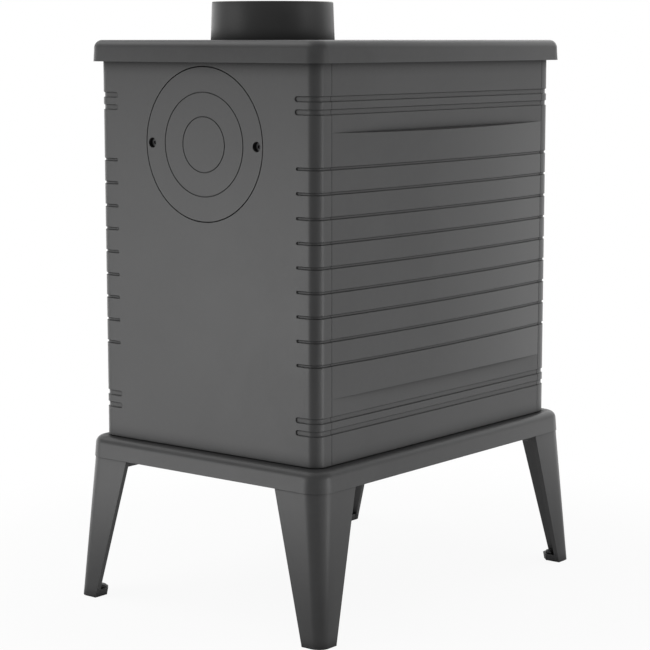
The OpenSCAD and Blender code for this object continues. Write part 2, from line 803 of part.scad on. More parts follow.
// Side plate drawn for the +x side
module side_casting() {
    plate_l = 2 * seam_y - seam_gap;
    low = mid_z - bow_h / 2;
    high = mid_z + bow_h / 2;
    difference() {
        union() {
            translate([inner_x, -plate_l / 2, body_z]) cube([wall_t, plate_l, plate_under - body_z]);
            // Bowed panel between its two drafted edges
            intersection() {
                bow_round(0, low - cut, high + cut);
                translate([0, plate_l / 2, 0]) rotate([90, 0, 0]) linear_extrude(plate_l)
                    polygon([
                        [inner_x, low], [side_x, low], [side_x + bow_rise, low + bow_edge],
                        [side_x + bow_rise, high - bow_edge], [side_x, high], [inner_x, high]
                    ]);
            }
        }
        // Shadow joint along the foot
        translate([side_x - foot_joint_depth, -body_d / 2, body_z - cut])
            cube([wall_t, body_d, foot_joint_h + cut]);
        // Hollow behind the bow, so that the wall keeps its thickness
        intersection() {
            bow_round(wall_t, low + wall_t, high - wall_t);
            translate([inner_x - cut, -seam_y + wall_t, low])
                cube([bow_rise + wall_t, 2 * seam_y - 2 * wall_t, bow_h]);
        }
        for (z = narrow_zs) bow_groove(z, narrow_groove_h);
        // Wide grooves lie on the flat bands above and below the bow
        for (z = wide_zs) translate([side_x, body_d / 2, z]) rotate([90, 0, 0])
            linear_extrude(body_d) groove_profile(wide_groove_h);
    }
    // Laps behind the rear and front plates, short of the curve inside their corners
    for (end = [[1, rear_corner_r], [-1, front_corner_r]]) {
        reach = min(lap_reach, corner_wrap - end[1]);
        translate([inner_x - lap_t, end[0] * (seam_y + (reach - lap_reach) / 2), body_z])
            translate([0, -(reach + lap_reach) / 2, 0])
                cube([lap_t, reach + lap_reach, plate_under - body_z]);
    }
    // Ledge that carries the fire floor
    translate([inner_x - ledge_w, -tie_y + ledge_end_gap, fire_z - fire_floor_t - ledge_t])
        cube([ledge_w, 2 * (tie_y - ledge_end_gap), ledge_t]);
}

module left_side_plate() {
    color(iron) in_place() mirror([1, 0, 0]) side_casting();
}

module right_side_plate() {
    color(iron) in_place() side_casting();
}

// Plan of a wall that wraps round two corners of the body, its outside drawn in by "inset"
module wrapped_plan(face, inset) {
    intersection() {
        difference() {
            body_plan(-inset);
            body_plan(-wall_t);
        }
        translate([-body_w, face > 0 ? seam_y + seam_gap / 2 : -body_d])
            square([2 * body_w, body_d - seam_y - seam_gap / 2]);
    }
}

// That wall, with the shadow joint round its foot
module wrapped_wall(face) {
    translate([0, 0, body_z]) linear_extrude(foot_joint_h) wrapped_plan(face, foot_joint_depth);
    translate([0, 0, body_z + foot_joint_h])
        linear_extrude(plate_under - body_z - foot_joint_h) wrapped_plan(face, 0);
}

module rear_plate() {
    boss_depth = cover_t + seal_t + outlet_seat_t - wall_t;
    color(iron) in_place() difference() {
        union() {
            wrapped_wall(1);
            translate([0, inner_y + slab, outlet_z]) rotate([90, 0, 0])
                cylinder(h = boss_depth + slab, r = cover_r + cover_gap + outlet_boss_w);
        }
        wrap_grooves(1);
        translate([0, end_y + cut, outlet_z]) rotate([90, 0, 0])
            cylinder(h = cover_t + seal_t + cut, r = cover_r + cover_gap);
        translate([0, end_y + cut, outlet_z]) rotate([90, 0, 0])
            cylinder(h = body_d / 4, r = outlet_r);
        for (s = [-1, 1]) translate([s * cover_screw_at, end_y, outlet_z]) rotate([90, 0, 0])
            cylinder(h = body_d / 4, r = small_screw_r + thread_gap);
    }
}

module rear_flue_cover() {
    color(iron) in_place() translate([0, end_y, outlet_z]) rotate([90, 0, 0]) difference() {
        cylinder(h = cover_t, r = cover_r);
        for (r = [ring_outer_r, ring_inner_r]) translate([0, 0, -cut]) difference() {
            cylinder(h = ring_depth + cut, r = r + ring_w / 2);
            translate([0, 0, -cut]) cylinder(h = ring_depth + 3 * cut, r = r - ring_w / 2);
        }
        for (s = [-1, 1]) translate([s * cover_screw_at, 0, 0]) {
            translate([0, 0, -cut]) cylinder(h = sunk_hole_depth + cut, r = sunk_hole_r);
            cylinder(h = cover_t + cut, r = small_screw_r + bolt_gap);
        }
    }
}

module cover_seal() {
    color(rope) in_place() translate([0, end_y - cover_t, outlet_z]) rotate([90, 0, 0]) difference() {
        cylinder(h = seal_t, r = cover_r - 1);
        translate([0, 0, -cut]) cylinder(h = seal_t + 2 * cut, r = outlet_r + 1);
        for (s = [-1, 1]) translate([s * cover_screw_at, 0, -cut])
            cylinder(h = seal_t + 2 * cut, r = small_screw_r + seal_gap);
    }
}

module cover_screws() {
    color(steel) in_place() for (s = [-1, 1])
        translate([s * cover_screw_at, end_y - sunk_hole_depth, outlet_z]) rotate([90, 0, 0]) {
            translate([0, 0, -cover_screw_head_h]) difference() {
                cylinder(h = cover_screw_head_h, r = cover_screw_head_r);
                translate([0, 0, -cut]) hexagon(cover_screw_key_af, keyhole_depth + cut);
            }
            translate([0, 0, -slab])
                cylinder(h = cover_t - sunk_hole_depth + seal_t + outlet_seat_t - 1, r = small_screw_r);
        }
}

// Row of air slots at height z, moved along by "shift" and cut from y inwards through "depth"
module air_slot_row(y, z, depth, shift) {
    for (i = [0:air_slots - 1]) {
        translate([(i - (air_slots - 1) / 2) * slot_pitch + shift, y, z])
            round_slot(air_slot_w, air_slot_h, depth);
    }
}

// Tapped holes for a slide's shoulder screws
module shoulder_holes(face_y, z) {
    for (x = shoulder_xs) translate([x, face_y - cut, z]) rotate([-90, 0, 0])
        cylinder(h = 6 + cut, r = shoulder_r - 0.5 + thread_gap);
}

// Shoulder screws that carry a slide and stop it at both ends of its travel
module shoulder_screws(face_y, z) {
    stand = slide_t + 2 * slide_clearance;
    for (x = shoulder_xs) translate([x, face_y, z]) rotate([90, 0, 0]) {
        translate([0, 0, -5]) cylinder(h = 6, r = shoulder_r - 0.5);
        cylinder(h = stand + 1, r = shoulder_r);
        translate([0, 0, stand]) difference() {
            cylinder(h = shoulder_head_h, r = shoulder_r + shoulder_head_lap);
            translate([0, 0, 1]) hexagon(shoulder_key_af, shoulder_head_h);
        }
    }
}

// Cast hood inside the front plate that turns the upper air down over the glass
module air_hood() {
    half = row_half + hood_gap / 2 + 2;
    top = airwash_z + slide_h / 2 + hood_t;
    low = door_z + door_h - 8;
    difference() {
        translate([-half - hood_t, -inner_y - slab, low])
            cube([2 * (half + hood_t), hood_gap + hood_t + slab, top - low]);
        translate([-half, -inner_y - cut, low - cut])
            cube([2 * half, hood_gap + cut, top - low - hood_t + cut]);
    }
}

module front_plate() {
    ear_z0 = knuckle_h / 2 + hinge_play;
    color(iron) in_place() difference() {
        union() {
            difference() {
                wrapped_wall(-1);
                wrap_grooves(-1);
            }
            // Hinge ears, rooted in the wall
            for (z = hinge_zs, s = [-1, 1]) {
                translate([hinge_x, hinge_y, z + s * (ear_z0 + ear_h / 2)]) {
                    cylinder(h = ear_h, r = knuckle_r, center = true);
                    translate([-knuckle_r, 0, -ear_h / 2])
                        cube([2 * knuckle_r, -end_y - hinge_y + 2 * groove_depth, ear_h]);
                }
            }
            air_hood();
            // Keeper pad that the latch cam turns behind
            translate([opening_w / 2 + 2, -inner_y - slab, spindle_z - 9])
                cube([cam_length - spindle_inset + door_overlap, keeper_t + slab, 18]);
        }
        // Door opening
        translate([0, -end_y - cut, opening_z + opening_h / 2]) rotate([-90, 0, 0])
            linear_extrude(wall_t + 2 * cut) round_rect(opening_w, opening_h, window_corner_r);
        // Mouth of the ash drawer
        translate([-drawer_mouth_w / 2, -end_y - cut, body_z - cut])
            cube([drawer_mouth_w, wall_t + 2 * cut, drawer_mouth_h + cut]);
        air_slot_row(-end_y - cut, airwash_z, wall_t + 2 * cut, 0);
        shoulder_holes(-end_y, airwash_z);
        for (z = hinge_zs, s = [-1, 1])
            translate([hinge_x, hinge_y, z + s * (ear_z0 + ear_h / 2)])
                cylinder(h = ear_h + 2 * cut, r = hinge_pin_r + thread_gap, center = true);
        for (s = [-1, 1]) translate([s * hearth_w / 3, -end_y - cut, hearth_bolt_z]) rotate([-90, 0, 0])
            cylinder(h = wall_t + 2 * cut, r = small_screw_r + thread_gap);
    }
}

module top_plate() {
    color(iron) in_place() difference() {
        union() {
            difference() {
                translate([0, 0, body_top])
                    cast_slab(body_w + 2 * top_overhang, body_d + 2 * top_overhang, top_h,
                              top_corner_r, top_draft, top_edge_r);
                translate([0, 0, body_top - cut]) linear_extrude(top_h - top_t + cut)
                    round_rect(body_w + 2 * lip_clearance, body_d + 2 * lip_clearance, rear_corner_r - 3);
            }
            for (c = corners) translate([c[0] * tie_x, c[1] * tie_y, plate_under - tie_boss_h])
                cylinder(h = tie_boss_h + cut, r = tie_boss_r);
        }
        translate([0, collar_y, plate_under - cut])
            cylinder(h = top_t + 2 * cut, r = collar_base_r + 0.4);
        for (i = [0:collar_bolts_n - 1]) rotate_about_collar(i)
            translate([0, 0, plate_under - cut])
                cylinder(h = top_t - 2 + cut, r = small_screw_r + thread_gap);
        for (c = corners) translate([c[0] * tie_x, c[1] * tie_y, plate_under - tie_boss_h - cut])
            cylinder(h = tie_boss_h + 2 * cut, r = tie_rod_r + thread_gap);
    }
}

module tie_rods() {
    low = base_z + base_h - base_floor_t - rod_nut_h - 2.5;
    color(steel) in_place() for (c = corners)
        translate([c[0] * tie_x, c[1] * tie_y, low]) cylinder(h = plate_under - low, r = tie_rod_r);
}

module tie_rod_nuts() {
    color(steel) in_place() for (c = corners)
        translate([c[0] * tie_x, c[1] * tie_y, base_z + base_h - base_floor_t - rod_nut_h]) difference() {
            hexagon(rod_nut_af, rod_nut_h);
            translate([0, 0, -cut]) cylinder(h = rod_nut_h + 2 * cut, r = tie_rod_r + thread_gap);
        }
}

// ---------- flue collar ----------

// Places a child at the i-th collar bolt
module rotate_about_collar(i) {
    translate([0, collar_y, 0]) rotate([0, 0, 45 + i * 360 / collar_bolts_n])
        translate([collar_bolt_circle_r, 0, 0]) children();
}

module flue_collar() {
    flange_z = plate_under - seal_t - flange_t;
    color(iron) in_place() difference() {
        union() {
            translate([0, collar_y, top_z]) rotate_extrude()
                edge_profile(collar_base_r, collar_h, collar_base_r - collar_rim_r, collar_rim_round);
            translate([0, collar_y, flange_z]) cylinder(h = top_z - flange_z, r = collar_base_r);
            translate([0, collar_y, flange_z]) cylinder(h = flange_t, r = flange_r);
        }
        translate([0, collar_y, flange_z - cut])
            cylinder(h = top_z + collar_h - flange_z + 2 * cut, r = collar_bore_r);
        for (i = [0:collar_bolts_n - 1]) rotate_about_collar(i)
            translate([0, 0, flange_z - cut]) cylinder(h = flange_t + 2 * cut, r = small_screw_r + bolt_gap);
    }
}

module collar_seal() {
    color(rope) in_place() difference() {
        translate([0, collar_y, plate_under - seal_t]) cylinder(h = seal_t, r = flange_r - 1);
        translate([0, collar_y, plate_under - seal_t - cut])
            cylinder(h = seal_t + 2 * cut, r = collar_base_r + 0.4);
        for (i = [0:collar_bolts_n - 1]) rotate_about_collar(i)
            translate([0, 0, plate_under - seal_t - cut])
                cylinder(h = seal_t + 2 * cut, r = small_screw_r + seal_gap);
    }
}

module collar_bolts() {
    head_top = plate_under - seal_t - flange_t;
    color(steel) in_place() for (i = [0:collar_bolts_n - 1]) rotate_about_collar(i) {
        translate([0, 0, head_top]) mirror([0, 0, 1]) hex_head(small_bolt_af, small_bolt_head_h);
        translate([0, 0, head_top - 1]) cylinder(h = flange_t + seal_t + top_t - 3, r = small_screw_r);
    }
}

// ---------- inside the firebox ----------

module fire_floor() {
    rebate = grate_clearance;
    color(iron) in_place() difference() {
        translate([0, 0, fire_z - fire_floor_t]) linear_extrude(fire_floor_t) intersection() {
            square([2 * (inner_x - lap_t), 2 * (inner_y - 3)], center = true);
            body_plan(-wall_t - 1);
        }
        translate([-grate_w / 2 - rebate, -grate_l / 2 - rebate, fire_z - fire_floor_t / 2])
            cube([grate_w + 2 * rebate, grate_l + 2 * rebate, fire_floor_t]);
        translate([-grate_w / 2 + grate_lap, -grate_l / 2 + grate_lap, fire_z - fire_floor_t - cut])
            cube([grate_w - 2 * grate_lap, grate_l - 2 * grate_lap, fire_floor_t + 2 * cut]);
        for (c = corners) translate([c[0] * tie_x, c[1] * tie_y, fire_z - fire_floor_t - cut])
            cylinder(h = fire_floor_t + 2 * cut, r = tie_rod_r + 1);
    }
}

module grate() {
    bar = (grate_w - 2 * grate_lap - grate_slots * grate_slot_w) / (grate_slots + 1);
    slot_l = (grate_l - 2 * grate_lap) / 2 - 12;
    color(iron) in_place() translate([0, 0, fire_z - fire_floor_t / 2]) difference() {
        translate([-grate_w / 2, -grate_l / 2, 0]) cube([grate_w, grate_l, grate_t]);
        for (i = [0:grate_slots - 1], s = [-1, 1]) {
            translate([(i - (grate_slots - 1) / 2) * (grate_slot_w + bar), s * (slot_l / 2 + 6), -cut])
                linear_extrude(grate_t + 2 * cut) rotate(90) {
                    square([slot_l - grate_slot_w, grate_slot_w], center = true);
                    for (e = [-1, 1]) translate([e * (slot_l - grate_slot_w) / 2, 0])
                        circle(grate_slot_w / 2, $fn = 32);
                }
        }
    }
}

// Row of standing firebricks along y, "n" of them
module brick_row(x, y0, y1, n) {
    pitch = (y1 - y0) / n;
    for (i = [0:n - 1]) translate([x, y0 + i * pitch + brick_joint / 2, fire_z])
        cube([brick_t, pitch - brick_joint, brick_h]);
}

module side_firebricks() {
    reach = tie_y - tie_rod_r - 5;
    brick_row(inner_x - brick_t - 2, -reach, reach, 3);
}

module left_firebricks() {
    color(brick) in_place() mirror([1, 0, 0]) side_firebricks();
}

module right_firebricks() {
    color(brick) in_place() side_firebricks();
}

module rear_firebricks() {
    half = inner_x - brick_t - 3;
    back = end_y - (cover_t + seal_t + outlet_seat_t) - 0.5;
    color(brick) in_place() translate([0, back - brick_t, fire_z]) for (i = [0:1])
        translate([(i - 1) * half + brick_joint / 2, 0, 0]) cube([half - brick_joint, brick_t, brick_h]);
}

module baffle_plate() {
    half = inner_x - lap_t - 2;
    back = end_y - (cover_t + seal_t + outlet_seat_t) - 1;
    notch = side_x - tie_x + tie_rod_r + 3;
    color(iron) in_place() difference() {
        translate([-half, back - baffle_l, brick_top]) cube([2 * half, baffle_l, baffle_t]);
        for (s = [-1, 1])
            translate([s * side_x - notch, tie_y - tie_rod_r - 3, brick_top - cut])
                cube([2 * notch, body_d, baffle_t + 2 * cut]);
    }
}

module log_guard() {
    half = inner_x - lap_t - 6;
    y = -inner_y + guard_gap;
    slot_h = guard_h - 2 * guard_slot_margin;
    color(iron) in_place() difference() {
        translate([-half, y, fire_z]) cube([2 * half, guard_t, guard_h]);
        for (i = [-3:3]) translate([i * guard_slot_pitch, y - cut, fire_z + guard_h / 2])
            rotate([0, 90, 0]) round_slot(slot_h, guard_slot_w, guard_t + 2 * cut);
    }
}

// ---------- hearth lip ----------

module hearth_lip() {
    bottom = hearth_top - hearth_t - hearth_rim_h;
    color(iron) in_place() difference() {
        union() {
            translate([0, 0, bottom]) linear_extrude(hearth_t + hearth_rim_h) hearth_plan(0);
            translate([-hearth_w / 2, -end_y - hearth_flange_t, bottom - hearth_flange_drop])
                cube([hearth_w, hearth_flange_t, hearth_flange_drop + hearth_t]);
        }
        translate([0, 0, bottom + hearth_t]) linear_extrude(hearth_rim_h + cut) hearth_plan(hearth_rim_w);
        for (s = [-1, 1]) translate([s * hearth_w / 3, -end_y - hearth_flange_t - cut, hearth_bolt_z])
            rotate([-90, 0, 0]) cylinder(h = hearth_flange_t + 2 * cut, r = small_screw_r + bolt_gap);
    }
}

// Plan of the hearth lip, drawn in by "inset"
module hearth_plan(inset) {
    r = hearth_corner_r - inset;
    intersection() {
        translate([0, -end_y]) round_rect(hearth_w - 2 * inset, 2 * (hearth_reach - inset), r);
        translate([-hearth_w, -end_y - hearth_reach]) square([2 * hearth_w, hearth_reach - inset]);
    }
}

module hearth_lip_bolts() {
    color(steel) in_place() for (s = [-1, 1])
        translate([s * hearth_w / 3, -end_y - hearth_flange_t, hearth_bolt_z]) rotate([90, 0, 0]) {
            hex_head(small_bolt_af, small_bolt_head_h);
            translate([0, 0, -hearth_flange_t - wall_t + 1])
                cylinder(h = hearth_flange_t + wall_t, r = small_screw_r);
        }
}

// ---------- door ----------

module door_frame() {
    mid = door_z + door_h / 2;
    groove_w = door_w - 2 * seal_groove_inset;
    groove_h = door_h - 2 * seal_groove_inset;
    color(iron) in_place() difference() {
        union() {
            // Slab with a raised field round the window
            translate([0, door_face + door_field_t, mid]) rotate([-90, 0, 0])
                linear_extrude(door_t - door_field_t) round_rect(door_w, door_h, door_corner_r);
            translate([0, door_face, mid]) rotate([-90, 0, 0]) linear_extrude(door_field_t + cut)
                round_rect(door_w - 2 * door_rim_w, door_h - 2 * door_rim_w, door_corner_r - 4);
            for (z = hinge_zs) {
                translate([hinge_x, hinge_y, z]) cylinder(h = knuckle_h, r = knuckle_r, center = true);
                translate([hinge_x, hinge_y - knuckle_r, z - knuckle_h / 2])
                    cube([-door_w / 2 - hinge_x + 6, knuckle_r, knuckle_h]);
            }
            translate([spindle_x, door_face + cut, spindle_z]) rotate([90, 0, 0])
                cylinder(h = boss_h + cut, r = spindle_boss_r);
        }
        // Window, stepped down to the glass
        translate([0, door_face - cut, mid]) rotate([-90, 0, 0])
            linear_extrude(door_t + 2 * cut) round_rect(window_w, window_h, window_corner_r);
        translate([0, door_face - cut, mid]) rotate([-90, 0, 0])
            linear_extrude(4 + cut)
                round_rect(window_w + 2 * window_step, window_h + 2 * window_step,
                           window_corner_r + window_step);
        // Rebate for the glass and its seal
        translate([0, door_back - glass_rebate, mid]) rotate([-90, 0, 0])
            linear_extrude(glass_rebate + cut)
                round_rect(window_w + 2 * glass_lap + 2, window_h + 2 * glass_lap + 2, 4);
        // Channel for the rope seal
        translate([0, rope_y - rope_r, mid]) rotate([-90, 0, 0]) linear_extrude(2 * rope_r + cut)
            difference() {
                round_rect(groove_w + 2 * rope_r + 0.6, groove_h + 2 * rope_r + 0.6, rope_bend + rope_r);
                round_rect(groove_w - 2 * rope_r - 0.6, groove_h - 2 * rope_r - 0.6, rope_bend - rope_r);
            }
        translate([spindle_x, door_face - 4, spindle_z]) rotate([-90, 0, 0])
            cylinder(h = door_t + 8, r = spindle_r + thread_gap);
        for (z = hinge_zs) translate([hinge_x, hinge_y, z])
            cylinder(h = knuckle_h + 2 * cut, r = hinge_pin_r + thread_gap, center = true);
        clip_holes(clip_screw_r + thread_gap);
    }
}

// Places a child at each glass clip
module at_clips() {
    mid = door_z + door_h / 2;
    for (s = [-1, 1], t = [-1, 1])
        translate([s * (window_w / 2 + glass_lap + clip_foot), door_back, mid + t * window_h / 4])
            mirror([s < 0 ? 1 : 0, 0, 0]) children();
}

module clip_holes(r) {
    at_clips() rotate([90, 0, 0]) translate([0, 0, -cut]) cylinder(h = clip_hole_depth + cut, r = r);
}

module door_glass() {
    color(clear_glass) in_place()
        translate([0, door_back - glass_rebate + seal_t, door_z + door_h / 2]) rotate([-90, 0, 0])
            linear_extrude(glass_t) round_rect(window_w + 2 * glass_lap, window_h + 2 * glass_lap, 3);
}

module glass_seal() {
    color(rope) in_place()
        translate([0, door_back - glass_rebate, door_z + door_h / 2]) rotate([-90, 0, 0])
            linear_extrude(seal_t) difference() {
                round_rect(window_w + 2 * glass_lap, window_h + 2 * glass_lap, 3);
                round_rect(window_w + 4, window_h + 4, window_corner_r + 2);
            }
}

// Stepped clips that hold the glass against its seal
module glass_clips() {
    down = glass_rebate - seal_t - glass_t;
    reach = glass_lap + 4;
    t = clip_t;
    color(steel) in_place() at_clips() difference() {
        translate([0, 0, -clip_h / 2]) linear_extrude(clip_h) polygon([
            [-reach, -down], [-clip_step_in, -down], [-clip_step_in, 0], [clip_foot, 0], [clip_foot, t],
            [-clip_step_in - t, t], [-clip_step_in - t, t - down], [-reach, t - down]
        ]);
        rotate([90, 0, 0]) translate([0, 0, -t - cut]) cylinder(h = t + 2 * cut, r = clip_screw_r + bolt_gap);
    }
}

module clip_screws() {
    color(steel) in_place() at_clips() rotate([90, 0, 0]) {
        translate([0, 0, -clip_t - clip_screw_head_h]) cylinder(h = clip_screw_head_h, r = clip_screw_head_r);
        translate([0, 0, -clip_t - 1]) cylinder(h = clip_t + clip_hole_depth, r = clip_screw_r);
    }
}

// Rope seal that beds in the door's channel
module door_rope_seal() {
    w = door_w - 2 * seal_groove_inset;
    h = door_h - 2 * seal_groove_inset;
    bend = rope_bend;
    color(rope) in_place() translate([0, rope_y, door_z + door_h / 2]) rotate([90, 0, 0]) {
        for (i = [0:3]) rotate([0, 0, i * 90]) {
            along = i % 2 == 0 ? h : w;
            across = i % 2 == 0 ? w : h;
            translate([across / 2, along / 2 - bend, 0]) rotate([90, 0, 0])
                cylinder(h = along - 2 * bend, r = rope_r, $fn = 32);
            translate([across / 2 - bend, along / 2 - bend, 0])
                rotate_extrude(angle = 90) translate([bend, 0]) circle(rope_r, $fn = 32);
        }
    }
}

module hinge_pins() {
    pin_h = knuckle_h + 2 * hinge_play + 2 * ear_h;
    color(steel) in_place() for (z = hinge_zs) translate([hinge_x, hinge_y, z]) {
        cylinder(h = pin_h, r = hinge_pin_r, center = true);
        translate([0, 0, pin_h / 2]) cylinder(h = pin_head_h, r = hinge_pin_r + pin_head_lap);
    }
}

// ---------- latch and handle ----------

// Turns a child about the spindle from its locked to its released place
module on_spindle() {
    in_place() translate([spindle_x, 0, spindle_z]) rotate([0, -latch_turn, 0]) children();
}

module latch_spindle() {
    front = door_face - boss_h - hub_gap - hub_h + 2;
    back = -inner_y + cam_gap + cam_t + 7;
    color(steel) on_spindle() translate([0, front, 0]) rotate([-90, 0, 0])
        cylinder(h = back - front, r = spindle_r);
}

// Cam that turns behind the edge of the door opening
module latch_cam() {
    y = -inner_y + cam_gap;
    color(iron) on_spindle() difference() {
        translate([0, y, 0]) rotate([-90, 0, 0]) linear_extrude(cam_t) {
            circle(cam_hub_r);
            translate([0, -cam_tip_r]) square([cam_length - cam_tip_r, 2 * cam_tip_r]);
            translate([cam_length - cam_tip_r, 0]) circle(cam_tip_r);
        }
        translate([0, y - cut, 0]) rotate([-90, 0, 0])
            cylinder(h = cam_t + 2 * cut, r = spindle_r + thread_gap);
    }
}

module cam_nut() {
    y = -inner_y + cam_gap + cam_t;
    color(steel) on_spindle() translate([0, y, 0]) rotate([-90, 0, 0]) difference() {
        hexagon(cam_nut_af, cam_nut_h);
        translate([0, 0, -cut]) cylinder(h = cam_nut_h + 2 * cut, r = spindle_r + thread_gap);
    }
}

// Lever with its hub on the spindle; it hangs along -Z when locked
module door_handle() {
    hub_y = door_face - boss_h - hub_gap;
    neck_out = handle_standoff - knuckle_end_r;
    neck_l = sqrt(neck_drop * neck_drop + neck_out * neck_out);
    color(iron) on_spindle() difference() {
        union() {
            translate([0, hub_y, 0]) rotate([90, 0, 0]) cylinder(h = hub_h, r = handle_hub_r);
            translate([0, hub_y - hub_h / 2, 0]) rotate([90, 0, 0])
                rotate([atan2(neck_drop, neck_out), 0, 0]) cylinder(h = neck_l, r = neck_r);
            translate([0, door_face - handle_standoff, -neck_drop - 1]) sphere(knuckle_end_r);
            translate([0, door_face - handle_standoff, -neck_drop - grip_gap])
                cylinder(h = grip_gap, r = grip_neck_r);
        }
        translate([0, hub_y + cut, 0]) rotate([90, 0, 0])
            cylinder(h = hub_h - 2 + cut, r = spindle_r + thread_gap);
    }
}

module handle_grip() {
    top = -neck_drop - grip_gap;
    l = handle_length + top;
    grip_end_r = grip_r - 1.5;
    round = 6;
    low = l - round;
    color(black) on_spindle() translate([0, door_face - handle_standoff, top]) mirror([0, 0, 1])
        rotate_extrude() difference() {
            union() {
                polygon([[0, 0], [grip_neck_r, 0], [grip_r, l * 0.55], [grip_end_r, low], [0, low]]);
                translate([grip_end_r - round, low]) circle(round);
                translate([0, low - cut]) square([grip_end_r - round, round + cut]);
            }
            translate([-grip_r, -cut]) square([grip_r, l + 2 * cut]);
        }
}

// ---------- air slides ----------

// Slide with its slots beside the ones behind it, shut at rest
module slide_plate(face_y, z) {
    back = face_y - slide_clearance;
    difference() {
        translate([slide_left, back - slide_t, z - slide_h / 2])
            cube([slide_right - slide_left, slide_t, slide_h]);
        air_slot_row(back - slide_t - cut, z, slide_t + 2 * cut, -slide_travel);
        for (x = shoulder_xs) translate([x - slide_travel / 2, back - slide_t - cut, z])
            round_slot(slide_travel + 2 * shoulder_slot_r, 2 * shoulder_slot_r, slide_t + 2 * cut);
    }
}

module slide_knob(face_y, z) {
    translate([knob_x, face_y - slide_clearance - slide_t, z]) rotate([90, 0, 0]) turned_knob(6);
}

module airwash_slide() {
    color(iron) in_place() slide_plate(-end_y, airwash_z);
}

module airwash_screws() {
    color(steel) in_place() shoulder_screws(-end_y, airwash_z);
}

module airwash_knob() {
    color(steel) in_place() slide_knob(-end_y, airwash_z);
}

// ---------- ash drawer ----------

module ash_drawer() {
    color(steel) in_place() difference() {
        translate([-drawer_w / 2, drawer_y, drawer_z]) cube([drawer_w, drawer_d, drawer_h]);
        translate([-drawer_w / 2 + drawer_sheet, drawer_y + drawer_sheet, drawer_z + drawer_sheet])
            cube([drawer_w - 2 * drawer_sheet, drawer_d - 2 * drawer_sheet, drawer_h]);
        air_slot_row(drawer_y - cut, primary_z, drawer_sheet + 2 * cut, 0);
    }
}

module drawer_front() {
    color(iron) in_place() difference() {
        union() {
            translate([-drawer_mouth_w / 2 - drawer_overlap, drawer_front_face, body_z + drawer_front_drop])
                cube([drawer_mouth_w + 2 * drawer_overlap, drawer_front_t, drawer_front_h]);
            translate([-drawer_w / 2 + 4, drawer_front_face + drawer_front_t - cut, drawer_z + 3])
                cube([drawer_w - 8, drawer_y - drawer_front_face - drawer_front_t + cut, drawer_h - 6]);
        }
        air_slot_row(drawer_front_face - cut, primary_z, drawer_front_t + 3 * cut, 0);
        shoulder_holes(drawer_front_face, primary_z);
    }
}

module drawer_knobs() {
    color(steel) in_place() for (s = [-1, 1])
        translate([s * (drawer_mouth_w / 2 - 6), drawer_front_face, primary_z]) rotate([90, 0, 0])
            turned_knob(8);
}

module primary_air_screws() {
    color(steel) in_place() shoulder_screws(drawer_front_face, primary_z);
}

module primary_air_slide() {
    color(iron) in_place() slide_plate(drawer_front_face, primary_z);
}

module primary_air_knob() {
    color(steel) in_place() slide_knob(drawer_front_face, primary_z);
}

// ---------- nodes ----------

base_frame();
leg([-1, -1]);  // leg_front_left
leg([1, -1]);  // leg_front_right
leg([-1, 1]);  // leg_rear_left
leg([1, 1]);  // leg_rear_right
leg_bolts();
levelling_screw([-1, -1]);  // levelling_screw_front_left
levelling_screw([1, -1]);  // levelling_screw_front_right
levelling_screw([-1, 1]);  // levelling_screw_rear_left
levelling_screw([1, 1]);  // levelling_screw_rear_right
left_side_plate();
right_side_plate();
rear_plate();
front_plate();
top_plate();
tie_rods();
tie_rod_nuts();
flue_collar();
collar_seal();
collar_bolts();
rear_flue_cover();
cover_seal();
cover_screws();
fire_floor();
grate();
left_firebricks();
right_firebricks();
rear_firebricks();
baffle_plate();
log_guard();
hearth_lip();
hearth_lip_bolts();
door_frame();
door_glass();
glass_seal();
glass_clips();
clip_screws();
door_rope_seal();
hinge_pins();
latch_spindle();
latch_cam();
cam_nut();
door_handle();
handle_grip();
airwash_slide();
airwash_knob();
airwash_screws();
ash_drawer();
drawer_front();
drawer_knobs();
primary_air_slide();
primary_air_knob();
primary_air_screws();
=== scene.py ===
import json
import math

import bmesh
import bpy
from mathutils import Matrix, Vector


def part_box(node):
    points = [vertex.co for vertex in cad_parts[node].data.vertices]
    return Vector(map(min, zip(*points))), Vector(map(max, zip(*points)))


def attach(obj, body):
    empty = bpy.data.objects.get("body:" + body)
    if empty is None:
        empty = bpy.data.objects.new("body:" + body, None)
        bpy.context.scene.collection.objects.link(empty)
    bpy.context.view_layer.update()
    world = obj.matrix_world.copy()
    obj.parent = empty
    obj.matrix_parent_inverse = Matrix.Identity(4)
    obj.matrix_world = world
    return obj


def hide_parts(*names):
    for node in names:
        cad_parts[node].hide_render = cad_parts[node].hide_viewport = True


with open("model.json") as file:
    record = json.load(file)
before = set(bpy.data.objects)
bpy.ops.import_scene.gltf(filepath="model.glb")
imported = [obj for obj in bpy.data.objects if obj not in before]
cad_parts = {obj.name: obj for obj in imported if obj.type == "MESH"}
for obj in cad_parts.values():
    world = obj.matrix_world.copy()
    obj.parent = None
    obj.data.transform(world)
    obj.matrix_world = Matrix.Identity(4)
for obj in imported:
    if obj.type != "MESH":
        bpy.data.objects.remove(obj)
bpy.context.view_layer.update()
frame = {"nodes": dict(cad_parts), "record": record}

# Lengths are in metres, in the frame of the CAD model.
BODY_Y = 0.0197  # the stove's body is this far behind the middle of its footprint
WALL_INSIDE_X, WALL_INSIDE_Y = 0.1662, 0.2397  # half the width and depth between the walls
FIRE_MIDDLE_Z, FIRE_HALF_H = 0.489, 0.2015  # the space between the base frame and the top plate
WALL_FADE = 0.002  # the soot on the walls ends over this width


# ---------------------------------------------------------------- shader building blocks

def add(tree, kind, **settings):
    node = tree.nodes.new(kind)
    for key, value in settings.items():
        setattr(node, key, value)
    return node


def feed(tree, source, target):
    tree.links.new(source, target)


